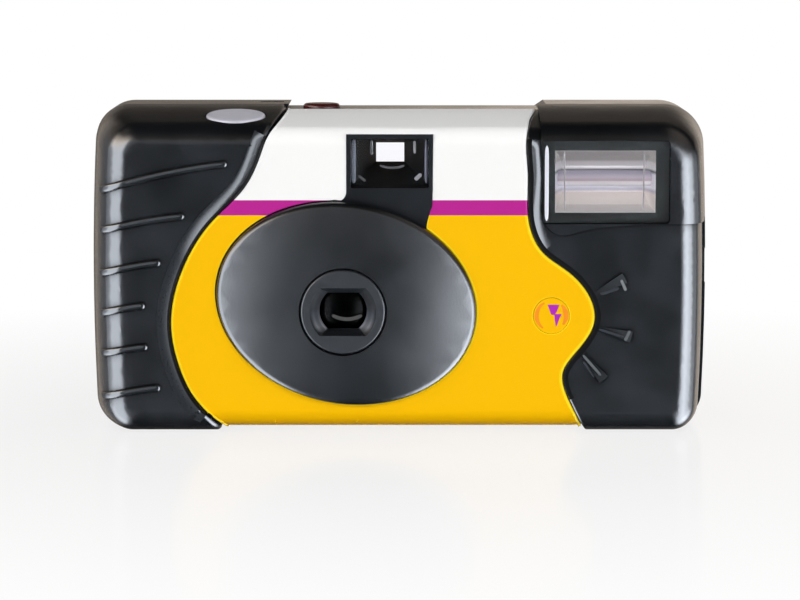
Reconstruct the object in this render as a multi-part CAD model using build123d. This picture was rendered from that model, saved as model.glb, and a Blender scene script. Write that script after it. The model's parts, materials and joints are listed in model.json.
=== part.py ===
from build123d import *
import math
import os

os.makedirs("parts", exist_ok=True)

# Disposable 35 mm film camera with a built-in flash, in millimetres.
# X runs to the viewer's right, Z up, and the lens looks along -Y.
# The origin lies under the middle of the body, on the surface that it stands on.

# Whole body
body_width = 120.0
body_height = 62.3
body_depth = 36.0
dome_reach = 2.8
parting_y = 2.0
shell_wall = 1.5
rear_wall = 1.8
label_step = 1.1
plateau_step = 0.5
overrun = 3.0
part_gap = 0.2
edge_round = 4.6
rear_round = 2.6
lip_round = 0.8
left_round = 5.0
right_round = 3.2
top_drop = 3.3
top_left_corner = 6.5
top_right_corner = 8.0
bottom_left_corner = 6.0
bottom_right_corner = 5.2
side_bow = 1.05
foot_taper = 0.75
rear_y = body_depth / 2
dome_front_y = -body_depth / 2
grip_front_y = dome_front_y + dome_reach
bed_front_y = grip_front_y + label_step
cavity_inset = label_step + shell_wall
cavity_front_y = grip_front_y + cavity_inset
half_width = body_width / 2

# The front half swells out from its front face to the parting plane through four outlines.
section_depth_shares = [0, 0.523, 0.814, 1.0]
left_round_shares = [0, 0.16, 0.52, 1.0]
right_round_shares = [0, 0.31, 0.6, 1.0]
top_drop_shares = [0, 0.45, 0.79, 1.0]

# The two S-shaped edges between the label's bed and the grips, as shares of half width and height.
left_edge_shares = [
    (-0.36, 1.067),
    (-0.374, 0.978),
    (-0.416, 0.929),
    (-0.448, 0.856),
    (-0.4995, 0.7575),
    (-0.599, 0.659),
    (-0.696, 0.511),
    (-0.736, 0.337),
    (-0.714, 0.213),
    (-0.667, 0.113),
    (-0.5715, 0.016),
    (-0.467, -0.064),
]
right_edge_shares = [
    (0.5, 1.067),
    (0.455, 0.985),
    (0.419, 0.955),
    (0.403, 0.907),
    (0.408, 0.8026),
    (0.411, 0.658),
    (0.456, 0.560),
    (0.555, 0.486),
    (0.624, 0.350),
    (0.570, 0.254),
    (0.523, 0.185),
    (0.5485, 0.088),
    (0.588, 0.016),
    (0.633, -0.064),
]
# The raised plateau round the flash.
plateau_edge_shares = [
    (0.4475, 1.07),
    (0.4475, 0.90),
    (0.449, 0.72),
    (0.4545, 0.667),
    (0.474, 0.633),
    (0.505, 0.615),
    (0.56, 0.6205),
    (0.62, 0.634),
    (0.70, 0.642),
    (0.80, 0.6465),
    (1.08, 0.648),
]

# Lens and the oval dome round it
lens_x = -10.9
lens_z = 23.75
dome_offset_x = 0.65
dome_offset_z = 1.35
dome_length = 50.2
dome_height = 38.6
dome_tilt = -10.6
dome_crown_radius = 130.0
dome_wall = 1.8
dome_rim_round = 1.2
lens_bore_radius = 8.45
ring_gap = 0.25
ring_sink = 0.2
ring_flange_extra = 1.2
ring_flange_thickness = 1.0
ring_barrel_radius = 7.0
ring_back_depth = 5.0
ring_mouth_radius = 6.4
ring_mouth_height = 9.2
ring_throat_radius = 4.55
ring_throat_height = 7.0
ring_cone_depth = 2.3
ring_edge_round = 0.5
lens_radius = 4.7
lens_thickness = 1.8
lens_gap = 0.05
lens_front_radius = 14.0
lens_back_radius = 26.0
aperture_radius = 2.0
aperture_disc_radius = 6.2
aperture_thickness = 0.3

# Viewfinder
finder_x = -1.96
finder_z = 51.9
finder_width = 14.9
finder_height = 9.4
finder_rim = 0.85
finder_sleeve_depth = 7.0
finder_lens_thickness = 1.6
finder_lens_dish = 40.0
finder_fit = 0.05
finder_exit_width = 5.6
finder_exit_height = 3.8
finder_tube_wall = 0.9
eyepiece_width = 8.6
eyepiece_height = 6.6
eyepiece_thickness = 1.2
eyepiece_bulge = 30.0
neck_proud = 0.5
neck_flare = 1.9
# The neck from the viewfinder down to the dome, as shares of finder width and of the drop to the lens.
neck_right_shares = [
    (0.0, 0.0),
    (-0.01, 0.42),
    (-0.075, 0.515),
    (-0.083, 0.565),
    (0.04, 0.655),
    (0.30, 0.86),
    (0.40, 1.05),
]

# Flash
flash_x = 39.3
flash_z = 48.3
flash_width = 24.5
flash_height = 15.9
flash_corner = 0.8
window_sink = 0.7
window_thickness = 1.4
window_tab = 1.0
window_tab_height = 8.0
reflector_width = 19.1
reflector_height = 11.8
reflector_back_width = 15.7
reflector_back_height = 4.4
reflector_mid_width_share = 0.92
reflector_mid_height_share = 0.8
reflector_mid_depth_share = 0.55
reflector_depth = 7.0
reflector_wall = 0.4
reflector_rim = 0.3
tube_radius = 1.5
tube_length = 23.0
tube_rise = 0.4
tube_depth_share = 0.58
tube_clearance = 0.05

# Flash charging button and the three rays beside it
charge_x = 29.05
charge_z = 22.6
charge_radius = 3.45
charge_gap = 0.15
charge_flange_extra = 0.9
charge_flange_thickness = 0.4
charge_flange_gap = 0.1
ray_length = 6.6
ray_inner_radius = 9.2
ray_inner_width = 0.6
ray_outer_width = 2.1
ray_proud = 0.9
ray_angles = (28.0, -14.5, -50.5)

# Raised ribs on the left grip
rib_width = 1.5
rib_proud = 0.55
rib_round = 0.5
rib_start_inset = 2.5
# Start height, end place and end height of each rib, as shares of height, half width and height.
rib_shares = [
    (0.748, -0.560, 0.832),
    (0.624, -0.697, 0.672),
    (0.492, -0.774, 0.5285),
    (0.368, -0.8245, 0.396),
    (0.2425, -0.818, 0.268),
    (0.1075, -0.778, 0.1415),
]
rib_sag_share = 0.12

# Label
label_thickness = 0.25
label_edge_gap = 0.7
label_back_margin = 0.9

# Film, cartridge and the winding parts
film_z = 25.4
film_height = 35.0
film_thickness = 0.15
film_y = 14.1
film_gap = 0.2
gate_width = 36.0
gate_height = 24.0
perforation_pitch = 4.75
perforation_width = 1.98
perforation_height = 2.8
perforation_edge = 2.0
cartridge_radius = 12.5
cartridge_height = 47.0
cartridge_x = -41.5
cartridge_y = 3.0
cartridge_cap_height = 1.2
cartridge_cap_extra = 0.15
cartridge_gap = 0.2
lip_thickness = 1.7
spool_radius = 5.4
spool_bore_radius = 2.4
spool_bore_depth = 7.0
spool_key_width = 1.0
roll_x = 31.0
roll_radius = 9.0
roll_core_radius = 5.0
roll_pin_radius = 1.4
roll_pin_length = 1.4
running_gap = 0.05
wheel_radius = 14.3
wheel_thickness = 3.9
wheel_lift = 0.2
wheel_teeth = 40
wheel_tooth_depth = 0.7
wheel_hub_radius = 2.2
wheel_cup_radius = 10.5
wheel_web = 1.2
wheel_slot_margin = 1.3
pawl_x = -24.6
pawl_y = 11.0
pawl_thickness = 1.0
pawl_hub_radius = 1.3
pawl_pin_radius = 0.6
pawl_arm_width = 1.0
sprocket_x = -19.2
sprocket_teeth = 8
sprocket_root_radius = 5.9
sprocket_tip_radius = 6.9
sprocket_thickness = 1.6
sprocket_tooth_width = 1.5
sprocket_shaft_radius = 1.25
sprocket_pin_radius = 0.75
sprocket_pin_length = 1.6
sprocket_cam_radius = 2.2
sprocket_cam_thickness = 1.0
sprocket_finger_radius = 1.3

# Frame counter
dial_x = -25.2
dial_y = 5.0
dial_radius = 4.9
dial_thickness = 0.9
dial_top_drop = 3.7
dial_post_radius = 1.1
dial_notches = 28
dial_notch = 0.35
counter_window_offset = 3.4
counter_window_width = 4.4
counter_window_depth = 3.6
counter_window_thickness = 2.2
counter_window_fit = 0.05

# Shutter button
button_x = -31.6
button_y = -8.0
button_width = 11.4
button_depth = 8.8
button_proud = 0.3
button_gap = 0.25
button_edge_round = 0.5
button_flange_extra = 1.0
button_flange_depth = 6.6
button_flange_thickness = 0.8
button_flange_drop = 5.3
button_travel = 1.0
button_stem_radius = 1.1
button_stem_length = 3.2
button_stem_offset_x = 4.1
button_stem_offset_y = -1.5

# Shutter and its levers
blade_thickness = 0.25
blade_disc_radius = 3.4
blade_pivot_right = 6.5
blade_pivot_up = 11.15
blade_hub_radius = 1.9
blade_pin_radius = 0.9
blade_pin_gap = 0.08
blade_arm_width = 2.2
blade_tab_left = 6.4
blade_tab_up = 2.6
blade_board_gap = 0.45
blade_boss_radius = 1.6
spring_coil_radius = 1.7
spring_wire = 0.4
spring_turns = 3
spring_leg = 4.0
striker_x = -22.8
striker_z = 33.0
striker_hub_radius = 2.0
striker_arm_width = 1.6
striker_tip_gap = 0.5
lever_x = -17.6
lever_y = -3.0
lever_thickness = 0.8
lever_lift = 0.2
lever_hub_radius = 1.7
lever_pin_radius = 0.8
lever_arm_width = 1.5

# Moulded inner frame
frame_wall = 1.2
board_front_y = -11.6
board_left_x = -27.0
board_right_x = 8.0
board_bottom_z = 15.6
board_top_z = 40.4
board_post_right_x = -20.5
deck_z = 49.5
deck_thickness = 1.0
deck_left_x = -54.0
deck_right_x = -11.5
deck_corner = 4.0
gate_plate_left_x = -30.6
gate_plate_right_x = 25.6
gate_plate_bottom_z = 5.5
gate_plate_top_z = 45.3
cone_mouth_width = 5.6
chamber_gap = 0.35
chamber_wall = 0.8
chamber_floor = 0.8
peg_radius = 1.3
sprocket_slot_extra = 0.6
shelf_width = 5.0
shelf_gap = 0.2
foot_width = 3.0
foot_spread_share = 0.3
chamber_arc_angles = (5.0, 34.0)
bridge_right_x = -28.4
bridge_front_y = 9.5

# Battery and its contacts
battery_radius = 7.25
battery_length = 50.5
battery_nub_radius = 2.75
battery_nub_length = 1.2
battery_left_x = -28.2
battery_gap = 0.15
battery_edge = 0.6
contact_thickness = 0.4
contact_gap = 0.1
contact_height = 10.0
contact_depth = 9.3
contact_foot = 3.0
contact_foot_height = 3.0
contact_spring_radius = 2.2
contact_spring_length = 1.0

# Flash circuit
circuit_thickness = 1.2
circuit_front_y = -10.9
circuit_left_x = 23.2
circuit_right_x = 39.8
circuit_bottom_z = 4.5
circuit_top_z = 41.2
arm_left_x = -19.5
arm_right_x = 28.0
arm_bottom_z = 40.8
arm_height = 4.8
circuit_post_radius = 1.3
circuit_post_inset = 2.4
capacitor_radius = 7.0
capacitor_height = 33.0
capacitor_x = 47.3
capacitor_y = -3.4
capacitor_bottom_z = 4.4
capacitor_edge = 1.0
capacitor_vent = 0.4
transformer_x = 29.0
transformer_z = 33.0
transformer_width = 9.0
transformer_height = 8.0
transformer_depth = 4.0
transformer_flange = 0.9
transformer_core_inset = 0.8
coil_x = 35.5
coil_z = 20.0
coil_radius = 2.4
coil_length = 7.5
coil_flange = 0.5
switch_radius = 3.0
switch_height = 0.5
switch_dish = 0.3
sync_width = 2.4
sync_length = 6.0
sync_thickness = 0.25
sync_x = 1.5

# Ready light
ready_x = -15.4
ready_y = 6.0
ready_radius = 3.6
ready_crown = 1.0
ready_gap = 0.1
ready_stem_radius = 2.9
lamp_radius = 2.1
lamp_height = 8.4
lamp_offset_x = 0.9
lamp_offset_y = 0.6
lamp_tip = 1.0

# Door under the cartridge
door_left_x = -52.0
door_right_x = -30.0
door_front_y = -9.0
door_back_y = 13.8
door_thickness = 1.6
door_gap = 0.2
door_pin_radius = 0.4
door_pin_length = 0.7
door_axis_z = 1.0
door_axis_inset = 0.8
door_hinge_gap = 0.35

# Pry slot in the right side
slot_height = 6.8
slot_depth = 1.2
slot_width = 2.4
slot_z = 30.6

# Details of the two covers
lip_depth = 1.6
lip_gap = 0.15
finder_bezel = 1.0
eyepiece_view_width = 7.4
eyepiece_view_height = 5.4
wheel_slot_width = 17.0
wheel_slot_round = 2.0
wheel_scoop = 2.2
wheel_scoop_depth = 1.0
pressure_rib_width = 1.2
pressure_rib_shares = (-0.75, -0.25, 0.25, 0.75)

# Thumb grooves and eyepiece recess in the back
thumb_groove_width = 1.4
thumb_groove_length = 15.0
thumb_groove_depth = 0.5
thumb_groove_x = -45.5
thumb_groove_low_z = 19.0
thumb_groove_pitch = 4.2
thumb_grooves = 6
eyepiece_recess_rim = 1.6
eyepiece_recess_depth = 0.4

# Places that follow from the sizes above
film_bottom_z = film_z - film_height / 2
cartridge_bottom_z = film_z - cartridge_height / 2
cartridge_top_z = cartridge_bottom_z + cartridge_height
gate_plate_back_y = film_y - film_gap
gate_plate_front_y = gate_plate_back_y - frame_wall
board_back_y = board_front_y + frame_wall
deck_top_z = deck_z + deck_thickness
wheel_z = deck_top_z + wheel_lift
roll_y = film_y - roll_radius
sprocket_y = film_y - running_gap * 2 - sprocket_tip_radius
sprocket_z = film_z + film_height / 2 - perforation_edge - sprocket_thickness / 2
dial_z = body_height - dial_top_drop - dial_thickness
blade_front_y = board_front_y - blade_board_gap - blade_thickness
blade_pivot_x = lens_x + blade_pivot_right
blade_pivot_z = lens_z + blade_pivot_up
finder_sleeve_back_y = bed_front_y - neck_proud + finder_sleeve_depth
finder_frame_width = finder_width + finder_rim * 2
finder_frame_height = finder_height + finder_rim * 2
battery_y = cavity_front_y + battery_gap + battery_radius
battery_z = cavity_inset + battery_gap + battery_radius
ring_front_y = dome_front_y + ring_sink
ring_back_y = ring_front_y + ring_back_depth
ring_radius = lens_bore_radius - ring_gap
window_front_y = grip_front_y + window_sink
window_back_y = window_front_y + window_thickness
reflector_front_y = window_back_y + part_gap
circuit_back_y = circuit_front_y + circuit_thickness
bed_top_z = body_height - label_step
cavity_top_z = body_height - cavity_inset
rear_inner_y = rear_y - rear_wall
door_axis_y = door_back_y - door_axis_inset


def block(x0, x1, y0, y1, z0, z1):
    """Box between two corners."""
    size = Box(x1 - x0, y1 - y0, z1 - z0, align=(Align.MIN, Align.MIN, Align.MIN))
    return Pos(x0, y0, z0) * size


def post_z(x, y, z0, z1, radius):
    """Upright cylinder from z0 to z1."""
    return Pos(x, y, z0) * Cylinder(radius, z1 - z0, align=(Align.CENTER, Align.CENTER, Align.MIN))


def post_y(x, z, y0, y1, radius):
    """Cylinder along Y from y0 to y1."""
    return extrude(Plane.XZ.offset(-y1) * Pos(x, z) * Circle(radius), y1 - y0)


def post_x(y, z, x0, x1, radius):
    """Cylinder along X from x0 to x1."""
    return extrude(Plane.YZ.offset(x0) * Pos(y, z) * Circle(radius), x1 - x0)


def front_slab(face, y0, y1):
    """A face drawn in the front view, X right and Z up, carried from y0 back to y1."""
    return extrude(Plane.XZ.offset(-y1) * face, y1 - y0)


def plan_slab(face, z0, z1):
    """A face drawn in the top view, carried from z0 up to z1."""
    return extrude(Plane.XY.offset(z0) * face, z1 - z0)


def save(shape, node):
    """Write one node's solid."""
    export_step(shape, f"parts/{node}.step")


# Outer form
def outline(left, right, drop, inset):
    """Rounded outline of the body in the front view, with bowed sides."""
    top = body_height - drop - inset
    side = half_width - inset
    top_left = (-side + left + side_bow, top)
    low_left = (-side + left + foot_taper, inset)
    top_right = (side - right - side_bow, top)
    low_right = (side - right - foot_taper, inset)
    left_middle = (-side + left, body_height / 2)
    right_middle = (side - right, body_height / 2)
    edges = [
        Line(low_left, low_right),
        ThreePointArc(low_right, right_middle, top_right),
        Line(top_right, top_left),
        ThreePointArc(top_left, left_middle, low_left),
    ]
    face = make_face(edges)
    corners = [
        (low_left, bottom_left_corner),
        (low_right, bottom_right_corner),
        (top_right, top_right_corner),
        (top_left, top_left_corner),
    ]
    for corner, radius in corners:
        vertex = face.vertices().sort_by_distance((corner[0], corner[1], 0))[0]
        face = fillet(vertex, radius - inset)
    return face


def front_form(inset):
    """Front half of the body, every wall moved in by inset."""
    sections = []
    front_y = grip_front_y + inset
    table = zip(section_depth_shares, left_round_shares, right_round_shares, top_drop_shares)
    for depth, left, right, drop in table:
        y = parting_y + (front_y - parting_y) * depth
        face = outline(left_round * left, right_round * right, top_drop * drop, inset)
        sections.append(Plane.XZ.offset(-y) * face)
    form = loft(sections)
    rim = form.edges().filter_by(lambda edge: abs(edge.center().Y - front_y) < part_gap / 10)
    return fillet(rim, edge_round - inset)


def rear_form(inset, back_y):
    """Rear half of the body, from the parting plane back to back_y."""
    form = front_slab(outline(0, 0, 0, inset), parting_y, back_y)
    rim = form.edges().filter_by(lambda edge: abs(edge.center().Y - back_y) < part_gap / 10)
    return fillet(rim, rear_round - (rear_y - back_y))


def share_points(shares):
    """Places in the front view from shares of half width and height."""
    return [(x * half_width, z * body_height) for x, z in shares]


def region_beside(shares, far_x):
    """Face between an S-shaped edge and a far upright."""
    points = share_points(shares)
    curve = Spline(*points)
    frame_edges = Polyline(points[-1], (far_x, points[-1][1]), (far_x, points[0][1]), points[0])
    return make_face([curve, frame_edges])


def edges_on(solid, shares):
    """Outer edges of a grip pad that lie on its S-shaped side."""
    curve = Plane.XZ * Spline(*share_points(shares))
    picked = []
    for edge in solid.edges():
        middle = edge.position_at(0.5)
        flat = Vector(middle.X, 0, middle.Z)
        if abs(middle.Y - parting_y) > part_gap / 10 and curve.distance_to(flat) < part_gap / 10:
            picked.append(edge)
    return picked


def shifted_points(points, distance):
    """Points moved sideways off their own curve, to the right of its run from first to last."""
    moved = []
    last = len(points) - 1
    for index, (x, z) in enumerate(points):
        before = points[max(index - 1, 0)]
        after = points[min(index + 1, last)]
        along = math.hypot(after[0] - before[0], after[1] - before[1])
        moved.append(
            (
                x + distance * (after[1] - before[1]) / along,
                z - distance * (after[0] - before[0]) / along,
            )
        )
    return moved


def band_face(inset):
    """Face between the two S-shaped edges, with both edges moved in."""
    left_points = shifted_points(share_points(left_edge_shares), -inset)
    right_points = shifted_points(share_points(right_edge_shares), inset)
    left_curve = Spline(*left_points)
    right_curve = Spline(*right_points)
    top = Line(left_points[0], right_points[0])
    bottom = Line(left_points[-1], right_points[-1])
    return make_face([left_curve, bottom, right_curve, top])


def plateau_face():
    """Face of the raised plateau round the flash window."""
    points = share_points(plateau_edge_shares)
    curve = Spline(*points)
    corner = (points[-1][0], points[0][1])
    return make_face([curve, Polyline(points[-1], corner, points[0])])


def dome_place():
    """Place of the oval's middle in the front view, turned to its tilt."""
    return Pos(lens_x + dome_offset_x, lens_z + dome_offset_z) * Rot(0, 0, dome_tilt)


def dome_solid(shrink, crown_drop):
    """Oval boss with a ball-shaped crown, or the hollow behind it when shrunk."""
    oval = dome_place() * Ellipse(dome_length / 2 - shrink, dome_height / 2 - shrink)
    slab = front_slab(oval, dome_front_y - overrun, cavity_front_y)
    # The crown passes through the front plane at the edge of the lens bore.
    rise = dome_crown_radius - math.sqrt(dome_crown_radius**2 - lens_bore_radius**2)
    centre_y = dome_front_y - rise + dome_crown_radius
    ball = Pos(lens_x, centre_y, lens_z) * Sphere(dome_crown_radius - crown_drop)
    return slab & ball


def dome_boss():
    """The oval dome with its rounded rim."""
    boss = dome_solid(0, 0)
    rim = boss.edges().filter_by(lambda edge: edge.center().Y < bed_front_y - neck_proud)
    return fillet(rim, dome_rim_round)


def neck_face(extra):
    """Face of the black neck that joins the viewfinder to the dome, grown at both sides."""
    top_z = finder_z + finder_frame_height / 2
    left_x = finder_x - finder_frame_width / 2 - extra
    right_x = finder_x + finder_frame_width / 2 + extra
    drop = top_z - lens_z - dome_offset_z
    points = []
    for across, down in neck_right_shares:
        points.append((right_x + across * finder_width, top_z - down * drop))
    curve = Spline(*points[1:])
    low_z = points[-1][1]
    foot_x = left_x - neck_flare
    foot_z = lens_z + dome_offset_z + dome_height / 2 + part_gap
    inner = Polyline(points[-1], (foot_x, low_z), (foot_x, foot_z))
    flare = TangentArc((left_x, foot_z + neck_flare), (foot_x, foot_z), tangent=(0, -1))
    rest = Polyline((left_x, foot_z + neck_flare), (left_x, top_z), (right_x, top_z), points[1])
    return make_face([curve, inner, flare, rest])


def finder_face(width, height):
    """Rectangle round the viewfinder axis in the front view."""
    return Pos(finder_x, finder_z) * Rectangle(width, height)


def flash_face(width, height):
    """Rectangle round the flash window's middle in the front view."""
    return Pos(flash_x, flash_z) * RectangleRounded(width, height, flash_corner)


def rib_solid(form, start_share, end_x_share, end_z_share):
    """One raised rib that climbs from the side to its round end on the grip."""
    start = (-half_width + rib_start_inset, start_share * body_height)
    end = (end_x_share * half_width, end_z_share * body_height)
    sag = (end[1] - start[1]) * rib_sag_share
    middle = ((start[0] + end[0]) / 2, (start[1] + end[1]) / 2 + sag)
    band = trace(ThreePointArc(start, middle, end), rib_width)
    face = band + Pos(*end) * Circle(rib_width / 2)
    rib = front_slab(face, grip_front_y - overrun, grip_front_y + left_round) & form
    tip = Vector(end[0] + rib_width / 2, grip_front_y - rib_proud, end[1])
    rim = rib.edges().sort_by(lambda edge: (edge.position_at(0.5) - tip).length)[0]
    return fillet(rim, rib_round)


def ray_solid(angle):
    """One wedge-shaped ray that widens and rises away from the charging button."""
    outer = ray_inner_radius + ray_length
    base = grip_front_y + plateau_step
    face = make_face(
        Polyline(
            (ray_inner_radius, -ray_inner_width / 2),
            (outer, -ray_outer_width / 2),
            (outer, ray_outer_width / 2),
            (ray_inner_radius, ray_inner_width / 2),
            close=True,
        )
    )
    placed = Pos(charge_x, charge_z) * Rot(0, 0, angle) * face
    slab = front_slab(placed, base - ray_proud, base + part_gap)
    corner = (outer - ray_length, base)
    slope = make_face(
        Polyline(
            corner,
            (outer + overrun, base - ray_proud * (ray_length + overrun) / ray_length),
            (outer + overrun, base + overrun),
            (ray_inner_radius - overrun, base + overrun),
            (ray_inner_radius - overrun, base),
            close=True,
        )
    )
    wedge = extrude(slope, ray_outer_width, both=True)
    turned = Pos(charge_x, 0, charge_z) * Rot(0, -angle, 0) * wedge
    return slab & turned


def front_outside():
    """Everything that the front cover shows, as a full solid."""
    grip_form = front_form(0)
    low_form = Pos(0, 0, -plateau_step) * front_form(plateau_step)
    bed = front_form(label_step)
    depth = (grip_front_y - overrun, parting_y)
    left_region = front_slab(region_beside(left_edge_shares, -half_width - overrun), *depth)
    right_region = front_slab(region_beside(right_edge_shares, half_width + overrun), *depth)
    plateau_region = front_slab(plateau_face(), *depth)
    left_pad = grip_form & left_region
    left_pad = fillet(edges_on(left_pad, left_edge_shares), lip_round)
    right_pad = low_form & right_region
    right_pad = fillet(edges_on(right_pad, right_edge_shares), plateau_step)
    plateau = grip_form & plateau_region
    solid = bed + left_pad + right_pad + plateau
    solid += dome_boss()
    solid += front_slab(neck_face(0), bed_front_y - neck_proud, cavity_front_y + overrun)
    raised = front_form(-rib_proud)
    for start, end_x, end_z in rib_shares:
        solid += rib_solid(raised, start, end_x, end_z)
    for angle in ray_angles:
        solid += ray_solid(angle)
    return solid


def rear_outside():
    """Everything that the rear cover shows, as a full solid."""
    grip_form = rear_form(0, rear_y)
    depth = (parting_y, rear_y)
    left_region = front_slab(region_beside(left_edge_shares, -half_width - overrun), *depth)
    right_region = front_slab(region_beside(right_edge_shares, half_width + overrun), *depth)
    bed = front_slab(outline(0, 0, 0, label_step), parting_y, rear_y)
    rim = bed.edges().filter_by(lambda edge: abs(edge.center().Y - rear_y) < part_gap / 10)
    bed = fillet(rim, rear_round)
    return bed + (grip_form & left_region) + (grip_form & right_region)


def door_box(gap):
    """The space of the cartridge door, grown by a gap."""
    return block(
        door_left_x - gap,
        door_right_x + gap,
        door_front_y - gap,
        door_back_y + (door_hinge_gap if gap else 0),
        -overrun,
        door_thickness + gap,
    )


def chamber_relief():
    """Room for the cartridge in the covers."""
    return post_z(
        cartridge_x,
        cartridge_y,
        cartridge_bottom_z - part_gap / 2,
        cartridge_top_z,
        cartridge_radius + cartridge_gap,
    )


# Covers
def button_face(extra):
    """Oval of the shutter button in the top view."""
    return Pos(button_x, button_y) * Ellipse(button_width / 2 + extra, button_depth / 2 + extra)


def cover_lip():
    """Thin lip on the front cover that slips inside the rear cover."""
    outer = outline(0, 0, 0, rear_wall + lip_gap)
    inner = outline(0, 0, 0, cavity_inset)
    ring = front_slab(outer - inner, parting_y, parting_y + lip_depth)
    limit = block(-half_width, half_width, parting_y, rear_y, 0, cavity_top_z - lip_gap)
    return ring & limit


def pry_slot():
    """Slot in the right side where the two covers are pried apart."""
    return block(
        half_width - slot_depth,
        half_width + overrun,
        parting_y - slot_width / 2,
        parting_y + slot_width / 2,
        slot_z - slot_height / 2,
        slot_z + slot_height / 2,
    )


def front_cover():
    """Front shell with the grips, the oval dome, the viewfinder neck and the flash well."""
    solid = front_outside()
    solid -= front_form(cavity_inset)
    solid -= dome_solid(dome_wall + shell_wall / 2, dome_wall)
    sleeve = finder_face(finder_frame_width, finder_frame_height)
    solid += front_slab(sleeve, bed_front_y, finder_sleeve_back_y)
    opening = finder_face(finder_width, finder_height)
    solid -= front_slab(opening, grip_front_y - overrun, finder_sleeve_back_y)
    solid -= post_y(lens_x, lens_z, dome_front_y - overrun, cavity_front_y, lens_bore_radius)
    well = flash_face(flash_width, flash_height)
    solid -= front_slab(well, grip_front_y - overrun, reflector_front_y + reflector_depth)
    hole_radius = charge_radius + charge_gap
    solid -= post_y(charge_x, charge_z, grip_front_y - overrun, cavity_front_y + overrun, hole_radius)
    low_z = body_height - button_flange_drop - button_flange_thickness - button_travel - part_gap
    solid -= plan_slab(button_face(button_gap), low_z, body_height + overrun)
    solid += cover_lip()
    post_y0 = cavity_front_y - shell_wall / 2
    post_y1 = circuit_front_y - running_gap
    for x, z in circuit_posts():
        solid += post_y(x, z, post_y0, post_y1, circuit_post_radius)
    solid -= door_box(door_gap)
    solid -= chamber_relief()
    solid -= pry_slot()
    return solid


def circuit_posts():
    """Places of the short posts that the circuit board rests on."""
    left = circuit_left_x + circuit_post_inset
    right = circuit_right_x - circuit_post_inset
    low = circuit_bottom_z + circuit_post_inset
    high = circuit_top_z - circuit_post_inset
    return [(left, low), (right, low), (right, high)]


def bevelled_hole(face_small, face_large, depth):
    """Hole edge that widens towards the back face."""
    small = Plane.XZ.offset(-(rear_y - depth)) * face_small
    large = Plane.XZ.offset(-(rear_y + part_gap / 10)) * face_large
    return loft([small, large], ruled=True)


def thumb_groove(z):
    """One short level groove with round ends in the back, where the thumb rests."""
    face = Pos(thumb_groove_x, z) * SlotOverall(thumb_groove_length, thumb_groove_width)
    return front_slab(face, rear_y - thumb_groove_depth, rear_y + overrun)


def eyepiece_recess():
    """Shallow field sunk round the eyepiece."""
    grow = (finder_bezel + eyepiece_recess_rim) * 2
    face = Pos(finder_x, finder_z) * RectangleRounded(
        eyepiece_view_width + grow, eyepiece_view_height + grow, eyepiece_recess_rim
    )
    return front_slab(face, rear_y - eyepiece_recess_depth, rear_y + overrun)


def rear_cover():
    """Rear shell with the eyepiece, the thumbwheel slot, the counter window and the ready light hole."""
    solid = rear_outside()
    hollow = front_slab(outline(0, 0, 0, rear_wall), parting_y, rear_inner_y)
    ceiling = block(-half_width, half_width, parting_y, rear_y, 0, cavity_top_z)
    solid -= hollow & ceiling
    slot_middle = Pos(cartridge_x, wheel_z + wheel_thickness / 2)
    slot_tall = wheel_thickness + wheel_slot_margin * 2
    slot = slot_middle * RectangleRounded(wheel_slot_width, slot_tall, wheel_slot_round)
    wide = slot_middle * RectangleRounded(
        wheel_slot_width + wheel_scoop * 2, slot_tall + wheel_scoop, wheel_slot_round + wheel_scoop / 2
    )
    solid -= front_slab(slot, rear_inner_y - overrun, rear_y + overrun)
    solid -= bevelled_hole(slot, wide, wheel_scoop_depth)
    view = finder_face(eyepiece_view_width, eyepiece_view_height)
    bezel = finder_face(eyepiece_view_width + finder_bezel * 2, eyepiece_view_height + finder_bezel * 2)
    solid -= front_slab(view, rear_inner_y - overrun, rear_y + overrun)
    solid -= bevelled_hole(view, bezel, finder_bezel)
    solid -= eyepiece_recess()
    for number in range(thumb_grooves):
        solid -= thumb_groove(thumb_groove_low_z + number * thumb_groove_pitch)
    window = counter_window_face(counter_window_fit)
    solid -= plan_slab(window, cavity_top_z - overrun, body_height + overrun)
    ready_hole = ready_radius + ready_gap
    solid -= post_z(ready_x, ready_y, cavity_top_z - overrun, body_height + overrun, ready_hole)
    for share in pressure_rib_shares:
        z = film_z + share * film_height / 2
        solid += block(
            lens_x - gate_width / 2,
            lens_x + gate_width / 2,
            film_y + film_thickness + film_gap,
            rear_inner_y + rear_wall / 2,
            z - pressure_rib_width / 2,
            z + pressure_rib_width / 2,
        )
    solid -= door_box(door_gap)
    pin_reach = door_pin_length + door_gap
    hinge_hole = door_pin_radius + running_gap
    solid -= post_x(door_axis_y, door_axis_z, door_left_x - pin_reach, door_right_x + pin_reach, hinge_hole)
    solid -= chamber_relief()
    solid -= pry_slot()
    return solid


def film_door():
    """Door in the floor under the cartridge, hinged at its back edge."""
    panel = block(door_left_x, door_right_x, door_front_y, door_axis_y, -overrun, door_thickness)
    front_part = panel & front_outside()
    rear_part = panel & rear_outside()
    roll = post_x(door_axis_y, door_axis_z, door_left_x, door_right_x, door_axis_inset)
    pin_left = door_left_x - door_pin_length
    pin_right = door_right_x + door_pin_length
    pin = post_x(door_axis_y, door_axis_z, pin_left, pin_right, door_pin_radius)
    return front_part + rear_part + roll + pin


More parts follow.
